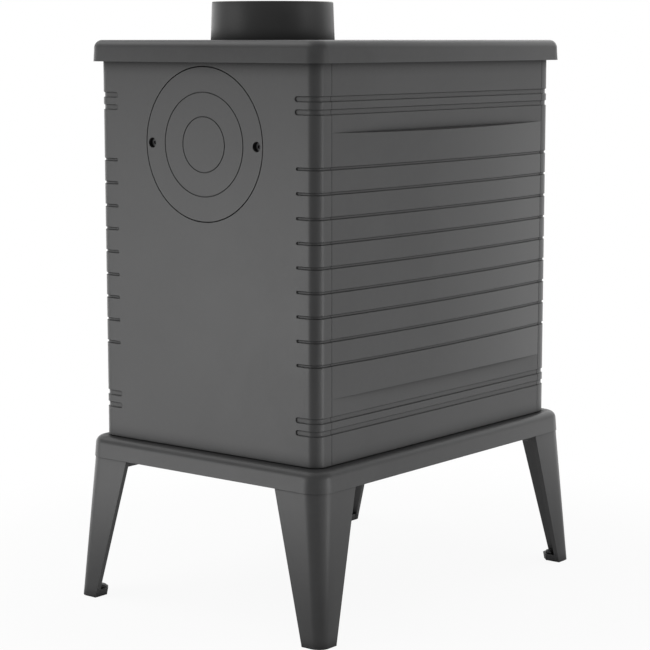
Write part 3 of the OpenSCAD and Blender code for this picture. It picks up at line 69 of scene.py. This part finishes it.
def new_finish(name):
    """An empty material with its node tree and the socket that its shader goes into."""
    finish = bpy.data.materials.new(name)
    finish.use_nodes = True
    tree = finish.node_tree
    tree.nodes.clear()
    output = add(tree, "ShaderNodeOutputMaterial")
    return finish, tree, output.inputs["Surface"]


def new_coat(name):
    """A material with one principled shader all over."""
    finish, tree, surface = new_finish(name)
    coat = add(tree, "ShaderNodeBsdfPrincipled")
    feed(tree, coat.outputs["BSDF"], surface)
    return finish, tree, coat.inputs


def place_on_object(tree, scale=(1, 1, 1), turn=(0, 0, 0)):
    """Where a pattern lies: the object's own coordinates, scaled and turned."""
    coords = add(tree, "ShaderNodeTexCoord")
    mapping = add(tree, "ShaderNodeMapping")
    mapping.inputs["Scale"].default_value = scale
    mapping.inputs["Rotation"].default_value = turn
    feed(tree, coords.outputs["Object"], mapping.inputs["Vector"])
    return mapping.outputs["Vector"]


def cloud(tree, place, scale, detail, rough, distort=0.0):
    """Soft random pattern round 0.5. The higher its scale, the finer it is."""
    noise = add(tree, "ShaderNodeTexNoise")
    noise.inputs["Scale"].default_value = scale
    noise.inputs["Detail"].default_value = detail
    noise.inputs["Roughness"].default_value = rough
    noise.inputs["Distortion"].default_value = distort
    feed(tree, place, noise.inputs["Vector"])
    return noise.outputs["Fac"]


def fit_range(tree, value, given, wanted, smooth=False):
    """Turns the range given into the range wanted, and holds what lies past its ends."""
    ramp = add(tree, "ShaderNodeMapRange")
    ramp.interpolation_type = "SMOOTHSTEP" if smooth else "LINEAR"
    ramp.inputs["From Min"].default_value, ramp.inputs["From Max"].default_value = given
    ramp.inputs["To Min"].default_value, ramp.inputs["To Max"].default_value = wanted
    feed(tree, value, ramp.inputs["Value"])
    return ramp.outputs["Result"]


def blend_colours(tree, share, first, second):
    """The first colour where share is 0, the second where it is 1."""
    mix = add(tree, "ShaderNodeMix", data_type="RGBA")
    feed(tree, share, mix.inputs["Factor"])
    first_socket, second_socket, mixed = mix.inputs[6], mix.inputs[7], mix.outputs[2]
    for socket, colour in ((first_socket, first), (second_socket, second)):
        if isinstance(colour, tuple):
            socket.default_value = (*colour, 1.0)
        else:
            feed(tree, colour, socket)
    return mixed


def combined(tree, operation, first, second):
    """Two values put together by MULTIPLY or MAXIMUM."""
    node = add(tree, "ShaderNodeMath", operation=operation)
    feed(tree, first, node.inputs[0])
    feed(tree, second, node.inputs[1])
    return node.outputs[0]


def sum_of(tree, first, second, share):
    """The first value plus a share of the second."""
    node = add(tree, "ShaderNodeMath", operation="MULTIPLY_ADD")
    feed(tree, second, node.inputs[0])
    node.inputs[1].default_value = share
    feed(tree, first, node.inputs[2])
    return node.outputs[0]


def distance_from(tree, value, middle):
    """How far a value is from the middle, on either side."""
    off = add(tree, "ShaderNodeMath", operation="SUBTRACT")
    feed(tree, value, off.inputs[0])
    off.inputs[1].default_value = middle
    size = add(tree, "ShaderNodeMath", operation="ABSOLUTE")
    feed(tree, off.outputs[0], size.inputs[0])
    return size.outputs[0]


def mixed_shaders(tree, share, first, second):
    """The first shader where share is 0, the second where it is 1."""
    mix = add(tree, "ShaderNodeMixShader")
    feed(tree, share, mix.inputs["Fac"])
    feed(tree, first.outputs[0], mix.inputs[1])
    feed(tree, second.outputs[0], mix.inputs[2])
    return mix.outputs["Shader"]


def eased_edges(tree, radius, samples=6):
    """Normals that shade each sharp edge as if it were rounded."""
    bevel = add(tree, "ShaderNodeBevel", samples=samples)
    bevel.inputs["Radius"].default_value = radius
    return bevel.outputs["Normal"]


def bumped(tree, height, depth, normal=None):
    """Normals that show a height pattern with relief of the depth given."""
    bump = add(tree, "ShaderNodeBump")
    bump.inputs["Strength"].default_value = 1.0
    bump.inputs["Distance"].default_value = depth
    feed(tree, height, bump.inputs["Height"])
    if normal is not None:
        feed(tree, normal, bump.inputs["Normal"])
    return bump.outputs["Normal"]


def shade_of(colour, share):
    """The same colour, darker or lighter."""
    return tuple(share * part for part in colour)


# ---------------------------------------------------------------- where wear, smoke and painted shade lie

WORN_EDGE = 0.0007  # how far from an edge the paint is rubbed
CREVICE_REACH = 0.017  # how near another surface must be for a spot to get painted shade and a duller sheen


def worn_edges(tree):
    """1 along the edges of a casting, where its eased normal leaves the true one, else 0."""
    geometry = add(tree, "ShaderNodeNewGeometry")
    meet = add(tree, "ShaderNodeVectorMath", operation="DOT_PRODUCT")
    feed(tree, geometry.outputs["True Normal"], meet.inputs[0])
    feed(tree, eased_edges(tree, WORN_EDGE), meet.inputs[1])
    return fit_range(tree, meet.outputs["Value"], (0.93, 0.995), (1.0, 0.0), smooth=True)


def crevice_shade_and_dust(tree):
    """1 deep in grooves, corners and under ledges, 0 on open faces; it marks where shade is
    painted into the colour and where dust dulls the sheen.
    """
    crevice_occlusion = add(tree, "ShaderNodeAmbientOcclusion", samples=6)
    crevice_occlusion.inputs["Distance"].default_value = CREVICE_REACH
    return fit_range(tree, crevice_occlusion.outputs["AO"], (0.35, 0.92), (1.0, 0.0))


def inside_walls(tree, place):
    """1 on the surfaces that face the fire inside the body's walls, 0 outside them."""
    parts = add(tree, "ShaderNodeSeparateXYZ")
    feed(tree, place, parts.inputs["Vector"])
    inside = []
    for axis, middle, half in (("X", 0.0, WALL_INSIDE_X), ("Y", BODY_Y, WALL_INSIDE_Y),
                               ("Z", FIRE_MIDDLE_Z, FIRE_HALF_H)):
        far = distance_from(tree, parts.outputs[axis], middle)
        inside.append(fit_range(tree, far, (half, half + WALL_FADE), (1.0, 0.0)))
    across, along, upright = inside
    return combined(tree, "MULTIPLY", combined(tree, "MULTIPLY", across, along), upright)


def near_pane_edge(tree, place):
    """0 over the middle of the door's pane, rising to 1 at its edges."""
    smoky_border = 0.06
    low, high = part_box("door_glass")
    parts = add(tree, "ShaderNodeSeparateXYZ")
    feed(tree, place, parts.inputs["Vector"])
    clear = []
    for axis, first, last in (("X", low.x, high.x), ("Z", low.z, high.z)):
        half = (last - first) / 2
        far = distance_from(tree, parts.outputs[axis], (first + last) / 2)
        clear.append(fit_range(tree, far, (half - smoky_border, half), (1.0, 0.0), smooth=True))
    middle = combined(tree, "MULTIPLY", *clear)
    return fit_range(tree, middle, (0.0, 1.0), (1.0, 0.0))


# ---------------------------------------------------------------- finishes

SOOT = (0.012, 0.0115, 0.011)
WALL_SOOT = (0.016, 0.0145, 0.013)


def cast_iron(name, dark, light, roughness, grain, shine=0.25, edge=0.0004, soot=0.0,
              sooty_inside=False):
    """Sand-cast iron: a fine pebbled skin, faint flow marks, a slightly uneven sheen and painted
    shade in its crevices.
    """
    finish, tree, coat = new_coat(name)
    place = place_on_object(tree)
    sand = cloud(tree, place, scale=640.0, detail=4.0, rough=0.62)
    skin = cloud(tree, place, scale=140.0, detail=3.0, rough=0.55)
    flow = cloud(tree, place, scale=9.0, detail=4.0, rough=0.55, distort=0.3)

    tone = sum_of(tree, sum_of(tree, flow, skin, 0.35), sand, 0.25)
    colour = blend_colours(tree, fit_range(tree, tone, (0.62, 1.0), (0.0, 1.0)), dark, light)
    scuffed = cloud(tree, place, scale=75.0, detail=5.0, rough=0.7)
    scuffed = fit_range(tree, scuffed, (0.48, 0.7), (0.0, 0.6), smooth=True)
    rubbed = combined(tree, "MULTIPLY", worn_edges(tree), scuffed)
    colour = blend_colours(tree, rubbed, colour, shade_of(light, 1.5))
    if soot:
        fouled = cloud(tree, place, scale=17.0, detail=5.0, rough=0.6, distort=0.6)
        fouled = fit_range(tree, fouled, (0.42, 0.62), (0.0, soot), smooth=True)
        colour = blend_colours(tree, fouled, colour, SOOT)
    painted_shade_and_dust = crevice_shade_and_dust(tree)
    # Painted shade: the colour goes much darker in grooves, corners and under the lip, where
    # shade falls.
    colour = blend_colours(tree, painted_shade_and_dust, colour, shade_of(dark, 0.15))

    sheen = sum_of(tree, sum_of(tree, flow, skin, 0.5), sand, 0.4)
    rough = fit_range(tree, sheen, (0.7, 1.2), (roughness - 0.03, roughness + 0.03))
    # Dust settled in the same crevices makes them duller.
    rough = sum_of(tree, rough, painted_shade_and_dust, 0.45)
    if sooty_inside:
        smoked = cloud(tree, place, scale=13.0, detail=5.0, rough=0.6, distort=0.6)
        smoked = fit_range(tree, smoked, (0.3, 0.6), (0.55, 1.0))
        smoked = combined(tree, "MULTIPLY", inside_walls(tree, place), smoked)
        colour = blend_colours(tree, smoked, colour, WALL_SOOT)
        rough = sum_of(tree, rough, smoked, 0.42)

    feed(tree, colour, coat["Base Color"])
    feed(tree, rough, coat["Roughness"])
    coat["Specular IOR Level"].default_value = shine
    height = sum_of(tree, sum_of(tree, sand, skin, 1.6), flow, 2.0)
    feed(tree, bumped(tree, height, grain, eased_edges(tree, edge)), coat["Normal"])
    return finish


def worked_steel(name, colour, roughness, along=(1, 1, 1)):
    """Steel with fine tool marks, stretched where along says so, and faint stains."""
    mark_depth, edge = 0.00001, 0.0003
    finish, tree, coat = new_coat(name)
    marks = cloud(tree, place_on_object(tree, along), scale=900.0, detail=3.0, rough=0.6)
    stains = cloud(tree, place_on_object(tree), scale=60.0, detail=4.0, rough=0.6, distort=0.4)
    stained = fit_range(tree, stains, (0.35, 0.7), (0.0, 1.0))
    feed(tree, blend_colours(tree, stained, colour, shade_of(colour, 0.75)), coat["Base Color"])
    coat["Metallic"].default_value = 1.0
    sheen = sum_of(tree, marks, stains, 0.6)
    rough = fit_range(tree, sheen, (0.5, 1.1), (roughness - 0.06, roughness + 0.1))
    feed(tree, rough, coat["Roughness"])
    feed(tree, bumped(tree, marks, mark_depth, eased_edges(tree, edge, 4)), coat["Normal"])
    return finish


def fired_clay(name):
    """Buff firebrick: a sandy body with pits and darker iron specks, smoked in patches."""
    buff, pale = (0.50, 0.40, 0.27), (0.66, 0.56, 0.42)
    iron_speck, smoke_stain = (0.30, 0.21, 0.14), (0.10, 0.09, 0.08)
    pit_depth, edge = 0.0005, 0.0015
    finish, tree, coat = new_coat(name)
    place = place_on_object(tree)
    body = cloud(tree, place, scale=34.0, detail=6.0, rough=0.65)
    sand = cloud(tree, place, scale=700.0, detail=3.0, rough=0.7)
    holes = add(tree, "ShaderNodeTexVoronoi")
    holes.inputs["Scale"].default_value = 210.0
    feed(tree, place, holes.inputs["Vector"])
    pits = fit_range(tree, holes.outputs["Distance"], (0.0, 0.22), (0.0, 1.0), smooth=True)

    colour = blend_colours(tree, fit_range(tree, body, (0.35, 0.7), (0.0, 1.0)), buff, pale)
    specks = fit_range(tree, sand, (0.58, 0.7), (0.0, 0.7))
    colour = blend_colours(tree, specks, colour, iron_speck)
    smoke = cloud(tree, place, scale=9.0, detail=5.0, rough=0.6, distort=0.8)
    smoke = fit_range(tree, smoke, (0.38, 0.66), (0.0, 0.55), smooth=True)
    feed(tree, blend_colours(tree, smoke, colour, smoke_stain), coat["Base Color"])
    coat["Roughness"].default_value = 0.92
    coat["Specular IOR Level"].default_value = 0.25
    height = sum_of(tree, sum_of(tree, pits, sand, 0.5), body, 0.8)
    feed(tree, bumped(tree, height, pit_depth, eased_edges(tree, edge)), coat["Normal"])
    return finish


def rope_fibre(name):
    """Black glass-fibre rope and tape: crossed strands with painted shade in the gaps between
    them, under a little dust.
    """
    painted_gap_shade, strand, dust_grey = (0.025, 0.025, 0.025), (0.12, 0.118, 0.114), (0.22, 0.21, 0.20)
    slant, strand_depth = 0.78, 0.0004
    finish, tree, coat = new_coat(name)
    strands = []
    for turn in (slant, -slant):
        wave = add(tree, "ShaderNodeTexWave", wave_type="BANDS", bands_direction="X")
        wave.inputs["Scale"].default_value = 170.0
        wave.inputs["Distortion"].default_value = 0.6
        wave.inputs["Detail Scale"].default_value = 3.0
        feed(tree, place_on_object(tree, turn=(turn, turn, turn)), wave.inputs["Vector"])
        strands.append(wave.outputs["Fac"])
    weave = combined(tree, "MAXIMUM", *strands)
    dust = cloud(tree, place_on_object(tree), scale=260.0, detail=4.0, rough=0.6)
    # Painted shade: the gaps between the strands are coloured far darker than the strands.
    colour = blend_colours(tree, weave, painted_gap_shade, strand)
    dusty = fit_range(tree, dust, (0.5, 0.8), (0.0, 0.5))
    feed(tree, blend_colours(tree, dusty, colour, dust_grey), coat["Base Color"])
    coat["Roughness"].default_value = 0.9
    coat["Sheen Weight"].default_value = 0.3
    feed(tree, bumped(tree, sum_of(tree, weave, dust, 0.4), strand_depth), coat["Normal"])
    return finish


def stove_glass(name):
    """Clear ceramic glass with a warm tint and a film of smoke, thicker towards its edges."""
    finish, tree, surface = new_finish(name)
    place = place_on_object(tree)
    haze = cloud(tree, place, scale=24.0, detail=5.0, rough=0.6, distort=0.5)
    glass = add(tree, "ShaderNodeBsdfPrincipled")
    glass.inputs["Base Color"].default_value = (0.84, 0.82, 0.79, 1.0)
    glass.inputs["Transmission Weight"].default_value = 1.0
    glass.inputs["IOR"].default_value = 1.5
    hazed = fit_range(tree, haze, (0.4, 0.75), (0.0, 0.05))
    feed(tree, hazed, glass.inputs["Roughness"])
    smoke = add(tree, "ShaderNodeBsdfPrincipled")
    smoke.inputs["Base Color"].default_value = (0.030, 0.026, 0.022, 1.0)
    smoke.inputs["Roughness"].default_value = 0.7
    smoke.inputs["Specular IOR Level"].default_value = 0.1
    film = sum_of(tree, near_pane_edge(tree, place), haze, 0.8)
    film = fit_range(tree, film, (0.35, 1.45), (0.03, 0.7))
    feed(tree, mixed_shaders(tree, film, glass, smoke), surface)
    return finish


def moulded_grip(name):
    """Black moulded handle grip, finely textured and polished in patches by the hand."""
    black, worn_black = (0.014, 0.014, 0.014), (0.030, 0.029, 0.028)
    texture_depth = 0.00005
    finish, tree, coat = new_coat(name)
    place = place_on_object(tree)
    texture = cloud(tree, place, scale=1400.0, detail=3.0, rough=0.6)
    wear = cloud(tree, place, scale=70.0, detail=4.0, rough=0.6)
    feed(tree, blend_colours(tree, wear, black, worn_black), coat["Base Color"])
    feed(tree, fit_range(tree, wear, (0.35, 0.7), (0.42, 0.56)), coat["Roughness"])
    feed(tree, bumped(tree, texture, texture_depth), coat["Normal"])
    return finish


PAINT_DARK, PAINT_LIGHT = (0.0325, 0.0326, 0.0330), (0.0392, 0.0393, 0.0397)
BARE_DARK, BARE_LIGHT = (0.040, 0.036, 0.033), (0.085, 0.074, 0.064)
PAINT_ROUGHNESS, PAINT_GRAIN = 0.40, 0.000018
FINISHES = {
    "painted_iron": cast_iron("charcoal_stove_paint", PAINT_DARK, PAINT_LIGHT,
                              PAINT_ROUGHNESS, PAINT_GRAIN),
    "inner_iron": cast_iron("bare_firebox_iron", BARE_DARK, BARE_LIGHT, roughness=0.72,
                            grain=0.00012, shine=0.3, edge=0.001, soot=0.7),
    "steel_fasteners": worked_steel("blackened_steel", (0.05, 0.05, 0.051), roughness=0.5),
    "bright_steel": worked_steel("turned_steel", (0.36, 0.36, 0.365), roughness=0.36),
    "drawer_steel": worked_steel("folded_sheet_steel", (0.20, 0.20, 0.205), roughness=0.42,
                                 along=(1, 12, 12)),
    "firebrick": fired_clay("firebrick_clay"),
    "rope": rope_fibre("black_rope_fibre"),
    "glass": stove_glass("ceramic_window_glass"),
    "grip": moulded_grip("black_moulded_grip"),
}
SOOTED_WALL = cast_iron("charcoal_paint_sooted_inside", PAINT_DARK, PAINT_LIGHT,
                        PAINT_ROUGHNESS, PAINT_GRAIN, sooty_inside=True)
FLUE_PAINT = cast_iron("heat_darkened_flue_paint", shade_of(PAINT_DARK, 0.46),
                       shade_of(PAINT_LIGHT, 0.49), PAINT_ROUGHNESS, PAINT_GRAIN)
OWN_FINISH = {  # pieces whose finish differs from that of their material slot
    "left_side_plate": SOOTED_WALL,
    "right_side_plate": SOOTED_WALL,
    "rear_plate": SOOTED_WALL,
    "front_plate": SOOTED_WALL,
    "top_plate": SOOTED_WALL,
    "flue_collar": FLUE_PAINT,
}


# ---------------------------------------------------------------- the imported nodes

SHARP_FROM = math.radians(32)
SAME_POINT = 0.000004  # points nearer than this are welded for the shading


def smooth_by_angle(limit):
    """Geometry nodes that shade a welded mesh smooth and keep edges past the limit sharp."""
    group = bpy.data.node_groups.new("smooth_by_angle", "GeometryNodeTree")
    for way in ("INPUT", "OUTPUT"):
        group.interface.new_socket("Geometry", in_out=way, socket_type="NodeSocketGeometry")
    start = add(group, "NodeGroupInput")
    angle = add(group, "GeometryNodeInputMeshEdgeAngle")
    small = add(group, "FunctionNodeCompare", data_type="FLOAT", operation="LESS_THAN")
    small.inputs[1].default_value = limit
    faces = add(group, "GeometryNodeSetShadeSmooth", domain="FACE")
    edges = add(group, "GeometryNodeSetShadeSmooth", domain="EDGE")
    end = add(group, "NodeGroupOutput")
    feed(group, start.outputs[0], faces.inputs["Geometry"])
    feed(group, faces.outputs[0], edges.inputs["Geometry"])
    feed(group, angle.outputs["Unsigned Angle"], small.inputs[0])
    feed(group, small.outputs["Result"], edges.inputs["Shade Smooth"])
    feed(group, edges.outputs[0], end.inputs[0])
    return group


def dress_packed_nodes():
    """Gives every CAD node its finish and smooth shading, and leaves its mesh as it is."""
    shading = smooth_by_angle(SHARP_FROM)
    slot_of = {row["node"]: row["material_slot"] for row in frame["record"]["subparts"]}
    for name, node in frame["nodes"].items():
        node.data.materials.clear()
        node.data.materials.append(OWN_FINISH.get(name, FINISHES[slot_of[name]]))
        weld = node.modifiers.new("weld", "WELD")
        weld.merge_threshold = SAME_POINT
        shade = node.modifiers.new("shade", "NODES")
        shade.node_group = shading


dress_packed_nodes()


# ---------------------------------------------------------------- the door's rope and tape

BEND_STEPS = 8  # points round each corner of the rope and the tape
SEAM = 0.00002  # points nearer than this are merged where a sweep closes


def new_piece(name, bm, finish):
    """An object of the bmesh, with its finish, that is linked to the scene."""
    mesh = bpy.data.meshes.new(name)
    bm.to_mesh(mesh)
    bm.free()
    mesh.materials.append(finish)
    piece = bpy.data.objects.new(name, mesh)
    bpy.context.scene.collection.objects.link(piece)
    return piece


def oblong_route(half_w, half_h, bend, step):
    """Points round an upright oblong with rounded corners, each with its way outwards."""
    def outwards(quarter_turns):
        angle = quarter_turns * math.pi / 2
        return Vector((math.cos(angle), 0, math.sin(angle)))

    bend_middles = [Vector((side * (half_w - bend), 0, up * (half_h - bend)))
                    for side, up in ((1, 1), (-1, 1), (-1, -1), (1, -1))]
    route = []
    for quarter in range(4):
        here, there = bend_middles[quarter], bend_middles[(quarter + 1) % 4]
        for i in range(BEND_STEPS):
            out = outwards(quarter + i / BEND_STEPS)
            route.append((here + bend * out, out))
        out = outwards(quarter + 1)
        run = there - here
        count = max(1, round(run.length / step))
        route += [(here + bend * out + run * i / count, out) for i in range(count)]
    return route


def sweep_closed(bm, ring, route, middle, turns):
    """Extrudes a ring of vertices along a closed route, twisting it by whole turns on the way."""
    lengths = [0.0]
    for here, there in zip(route, route[1:] + route[:1]):
        lengths.append(lengths[-1] + (there[0] - here[0]).length)

    def place(k):
        point, out = route[k % len(route)]
        deep = Vector((0, 1, 0))
        upright = Matrix((out, deep, out.cross(deep))).transposed().to_4x4()
        twist = Matrix.Rotation(2 * math.pi * turns * lengths[k] / lengths[-1], 4, "Z")
        return Matrix.Translation(middle + point) @ upright @ twist

    bmesh.ops.transform(bm, matrix=place(0), verts=ring)
    edges = list(bm.edges)
    for k in range(1, len(route) + 1):
        grown = bmesh.ops.extrude_edge_only(bm, edges=edges)["geom"]
        ring = [part for part in grown if isinstance(part, bmesh.types.BMVert)]
        edges = [part for part in grown if isinstance(part, bmesh.types.BMEdge)]
        edges = [edge for edge in edges if all(vert in ring for vert in edge.verts)]
        bmesh.ops.transform(bm, matrix=place(k) @ place(k - 1).inverted(), verts=ring)
    bmesh.ops.remove_doubles(bm, verts=list(bm.verts), dist=SEAM)
    bmesh.ops.recalc_face_normals(bm, faces=list(bm.faces))
    for face in bm.faces:
        face.smooth = True


def twisted_door_rope():
    """Five-strand fibre rope that lies in the groove round the back of the door."""
    strands, points_per_strand, turns = 5, 6, 34
    strand_relief = 0.14  # how far the rope is drawn in between its strands, of its radius
    bend, step = 0.009, 0.0027
    low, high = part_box("door_rope_seal")
    radius = (high.y - low.y) / 2
    bm = bmesh.new()
    points = points_per_strand * strands
    ring = bmesh.ops.create_circle(bm, segments=points, radius=radius)["verts"]
    for vert in ring:
        angle = math.atan2(vert.co.y, vert.co.x)
        vert.co *= 1 - strand_relief + strand_relief * abs(math.cos(strands * angle / 2))
    half_w, half_h = (high.x - low.x) / 2 - radius, (high.z - low.z) / 2 - radius
    route = oblong_route(half_w, half_h, bend, step)
    sweep_closed(bm, ring, route, (low + high) / 2, turns)
    rope = new_piece("twisted_door_rope", bm, FINISHES["rope"])
    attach(rope, "door")
    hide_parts("door_rope_seal")


def glass_tape():
    """Flat woven tape with rounded selvedges that beds the glass on the door frame."""
    wide, bend, step, points = 0.008, 0.006, 0.02, 20
    flat_face, round_selvedge = 0.35, 0.6  # powers that square up the round section
    low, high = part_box("glass_seal")
    thick = high.y - low.y
    bm = bmesh.new()
    ring = bmesh.ops.create_circle(bm, segments=points, radius=1.0)["verts"]
    for vert in ring:
        x, y = vert.co.x, vert.co.y
        vert.co.x = math.copysign(abs(x) ** flat_face, x) * wide / 2
        vert.co.y = math.copysign(abs(y) ** round_selvedge, y) * thick / 2
    half_w, half_h = (high.x - low.x - wide) / 2, (high.z - low.z - wide) / 2
    route = oblong_route(half_w, half_h, bend, step)
    sweep_closed(bm, ring, route, (low + high) / 2, turns=0)
    tape = new_piece("woven_glass_tape", bm, FINISHES["rope"])
    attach(tape, "door")
    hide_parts("glass_seal")


twisted_door_rope()
glass_tape()


# ---------------------------------------------------------------- floor and world

FLOOR_RADIUS, FLOOR_FADE_FROM, FLOOR_FADE_TO = 0.85, 0.4, 0.80
FLOOR_GREY = (0.82, 0.82, 0.82, 1.0)
WHITE = (1.0, 1.0, 1.0, 1.0)
FILL_LIGHT = 0.2  # even light from all sides on matt surfaces


def sees_background(tree):
    """1 for rays that show the plain white background: from the camera, a gloss or a glass."""
    path = add(tree, "ShaderNodeLightPath")
    camera_or_gloss = combined(tree, "MAXIMUM", path.outputs["Is Camera Ray"],
                               path.outputs["Is Glossy Ray"])
    return combined(tree, "MAXIMUM", camera_or_gloss, path.outputs["Is Transmission Ray"])


def studio_floor():
    """Pale floor that keeps the soft shadow near the feet and fades to plain white at its rim."""
    finish, tree, surface = new_finish("studio_floor")
    lit = add(tree, "ShaderNodeBsdfDiffuse")
    lit.inputs["Color"].default_value = FLOOR_GREY
    white = add(tree, "ShaderNodeEmission")
    white.inputs["Color"].default_value = WHITE
    white.inputs["Strength"].default_value = 1.0
    from_middle = add(tree, "ShaderNodeVectorMath", operation="LENGTH")
    feed(tree, place_on_object(tree), from_middle.inputs[0])
    whiteness = fit_range(tree, from_middle.outputs["Value"],
                          (FLOOR_FADE_FROM, FLOOR_FADE_TO), (0.93, 1.0), smooth=True)
    share = combined(tree, "MULTIPLY", sees_background(tree), whiteness)
    feed(tree, mixed_shaders(tree, share, lit, white), surface)
    bm = bmesh.new()
    bmesh.ops.create_circle(bm, cap_ends=True, segments=96, radius=FLOOR_RADIUS)
    new_piece("floor", bm, finish)


def studio_world():
    """White where the camera, a gloss or a glass sees past the floor, dim for matt surfaces."""
    world = bpy.data.worlds.new("studio")
    bpy.context.scene.world = world
    world.use_nodes = True
    tree = world.node_tree
    tree.nodes.clear()
    seen = add(tree, "ShaderNodeBackground")
    seen.inputs["Color"].default_value = WHITE
    seen.inputs["Strength"].default_value = 1.0
    fill = add(tree, "ShaderNodeBackground")
    fill.inputs["Color"].default_value = WHITE
    fill.inputs["Strength"].default_value = FILL_LIGHT
    output = add(tree, "ShaderNodeOutputWorld")
    feed(tree, mixed_shaders(tree, sees_background(tree), fill, seen), output.inputs["Surface"])


studio_floor()
studio_world()


# ---------------------------------------------------------------- lamps and camera

AIM = Vector((0.0, BODY_Y, 0.38))
LAMP_DISTANCE = 3.4
# Azimuth (0 in front of the door, 90 on the right), height above the aim, width and tallness
# as angles seen from the aim, all in degrees, and radiance.
LAMPS = [
    ("rear", 152, -7, 18, 22, 7.0),
    ("rear_right", 134, -7, 20, 22, 3.7),
    ("upper_rear_right", 130, 52, 60, 28, 2.3),
    ("left_low", 268, -14, 54, 10, 3.4),
    ("left_edge", 281, -7, 14, 24, 6.8),
    ("left", 297, -7, 36, 26, 1.4),
    ("front_left", 343, -7, 28, 22, 1.4),
    ("front", 4, 24, 64, 26, 1.5),
    ("upper_front", 330, 55, 60, 24, 0.6),
    ("right", 80, -4, 60, 26, 1.3),
    ("overhead", 0, 90, 50, 50, 0.9),
]


def soft_lamp(name, azimuth, height, wide, tall, radiance):
    """Soft lamp that the camera and a glass look through, turned to the aim."""
    half_w = LAMP_DISTANCE * math.tan(math.radians(wide / 2))
    half_h = LAMP_DISTANCE * math.tan(math.radians(tall / 2))
    data = bpy.data.lights.new(name, "AREA")
    data.shape, data.size, data.size_y = "RECTANGLE", 2 * half_w, 2 * half_h
    data.energy = radiance * math.pi * 4 * half_w * half_h
    lamp = bpy.data.objects.new(name, data)
    bpy.context.scene.collection.objects.link(lamp)
    a, e = math.radians(azimuth), math.radians(height)
    way = Vector((math.sin(a) * math.cos(e), -math.cos(a) * math.cos(e), math.sin(e)))
    lamp.location = AIM + way * LAMP_DISTANCE
    lamp.rotation_mode = "QUATERNION"
    lamp.rotation_quaternion = way.to_track_quat("Z", "Y")
    lamp.visible_camera = lamp.visible_transmission = False


def photograph_camera():
    """Camera at the photograph's place, as solved from the visible edges."""
    turn, tilt = math.radians(218.46), math.radians(8.06)
    lens = bpy.data.cameras.new("camera")
    lens.sensor_fit = "HORIZONTAL"
    lens.sensor_width = 36.0
    lens.lens = 111.92
    lens.shift_x = -0.01223
    lens.clip_start, lens.clip_end = 0.05, 60.0
    camera = bpy.data.objects.new("camera", lens)
    bpy.context.scene.collection.objects.link(camera)
    camera.location = (-1.6117, 2.0292 + BODY_Y, 0.7003)
    look = Vector((-math.sin(turn) * math.cos(tilt), math.cos(turn) * math.cos(tilt),
                   -math.sin(tilt)))
    camera.rotation_mode = "QUATERNION"
    camera.rotation_quaternion = look.to_track_quat("-Z", "Y")
    bpy.context.scene.camera = camera


for row in LAMPS:
    soft_lamp(*row)
photograph_camera()
bpy.context.scene.view_settings.view_transform = "Standard"
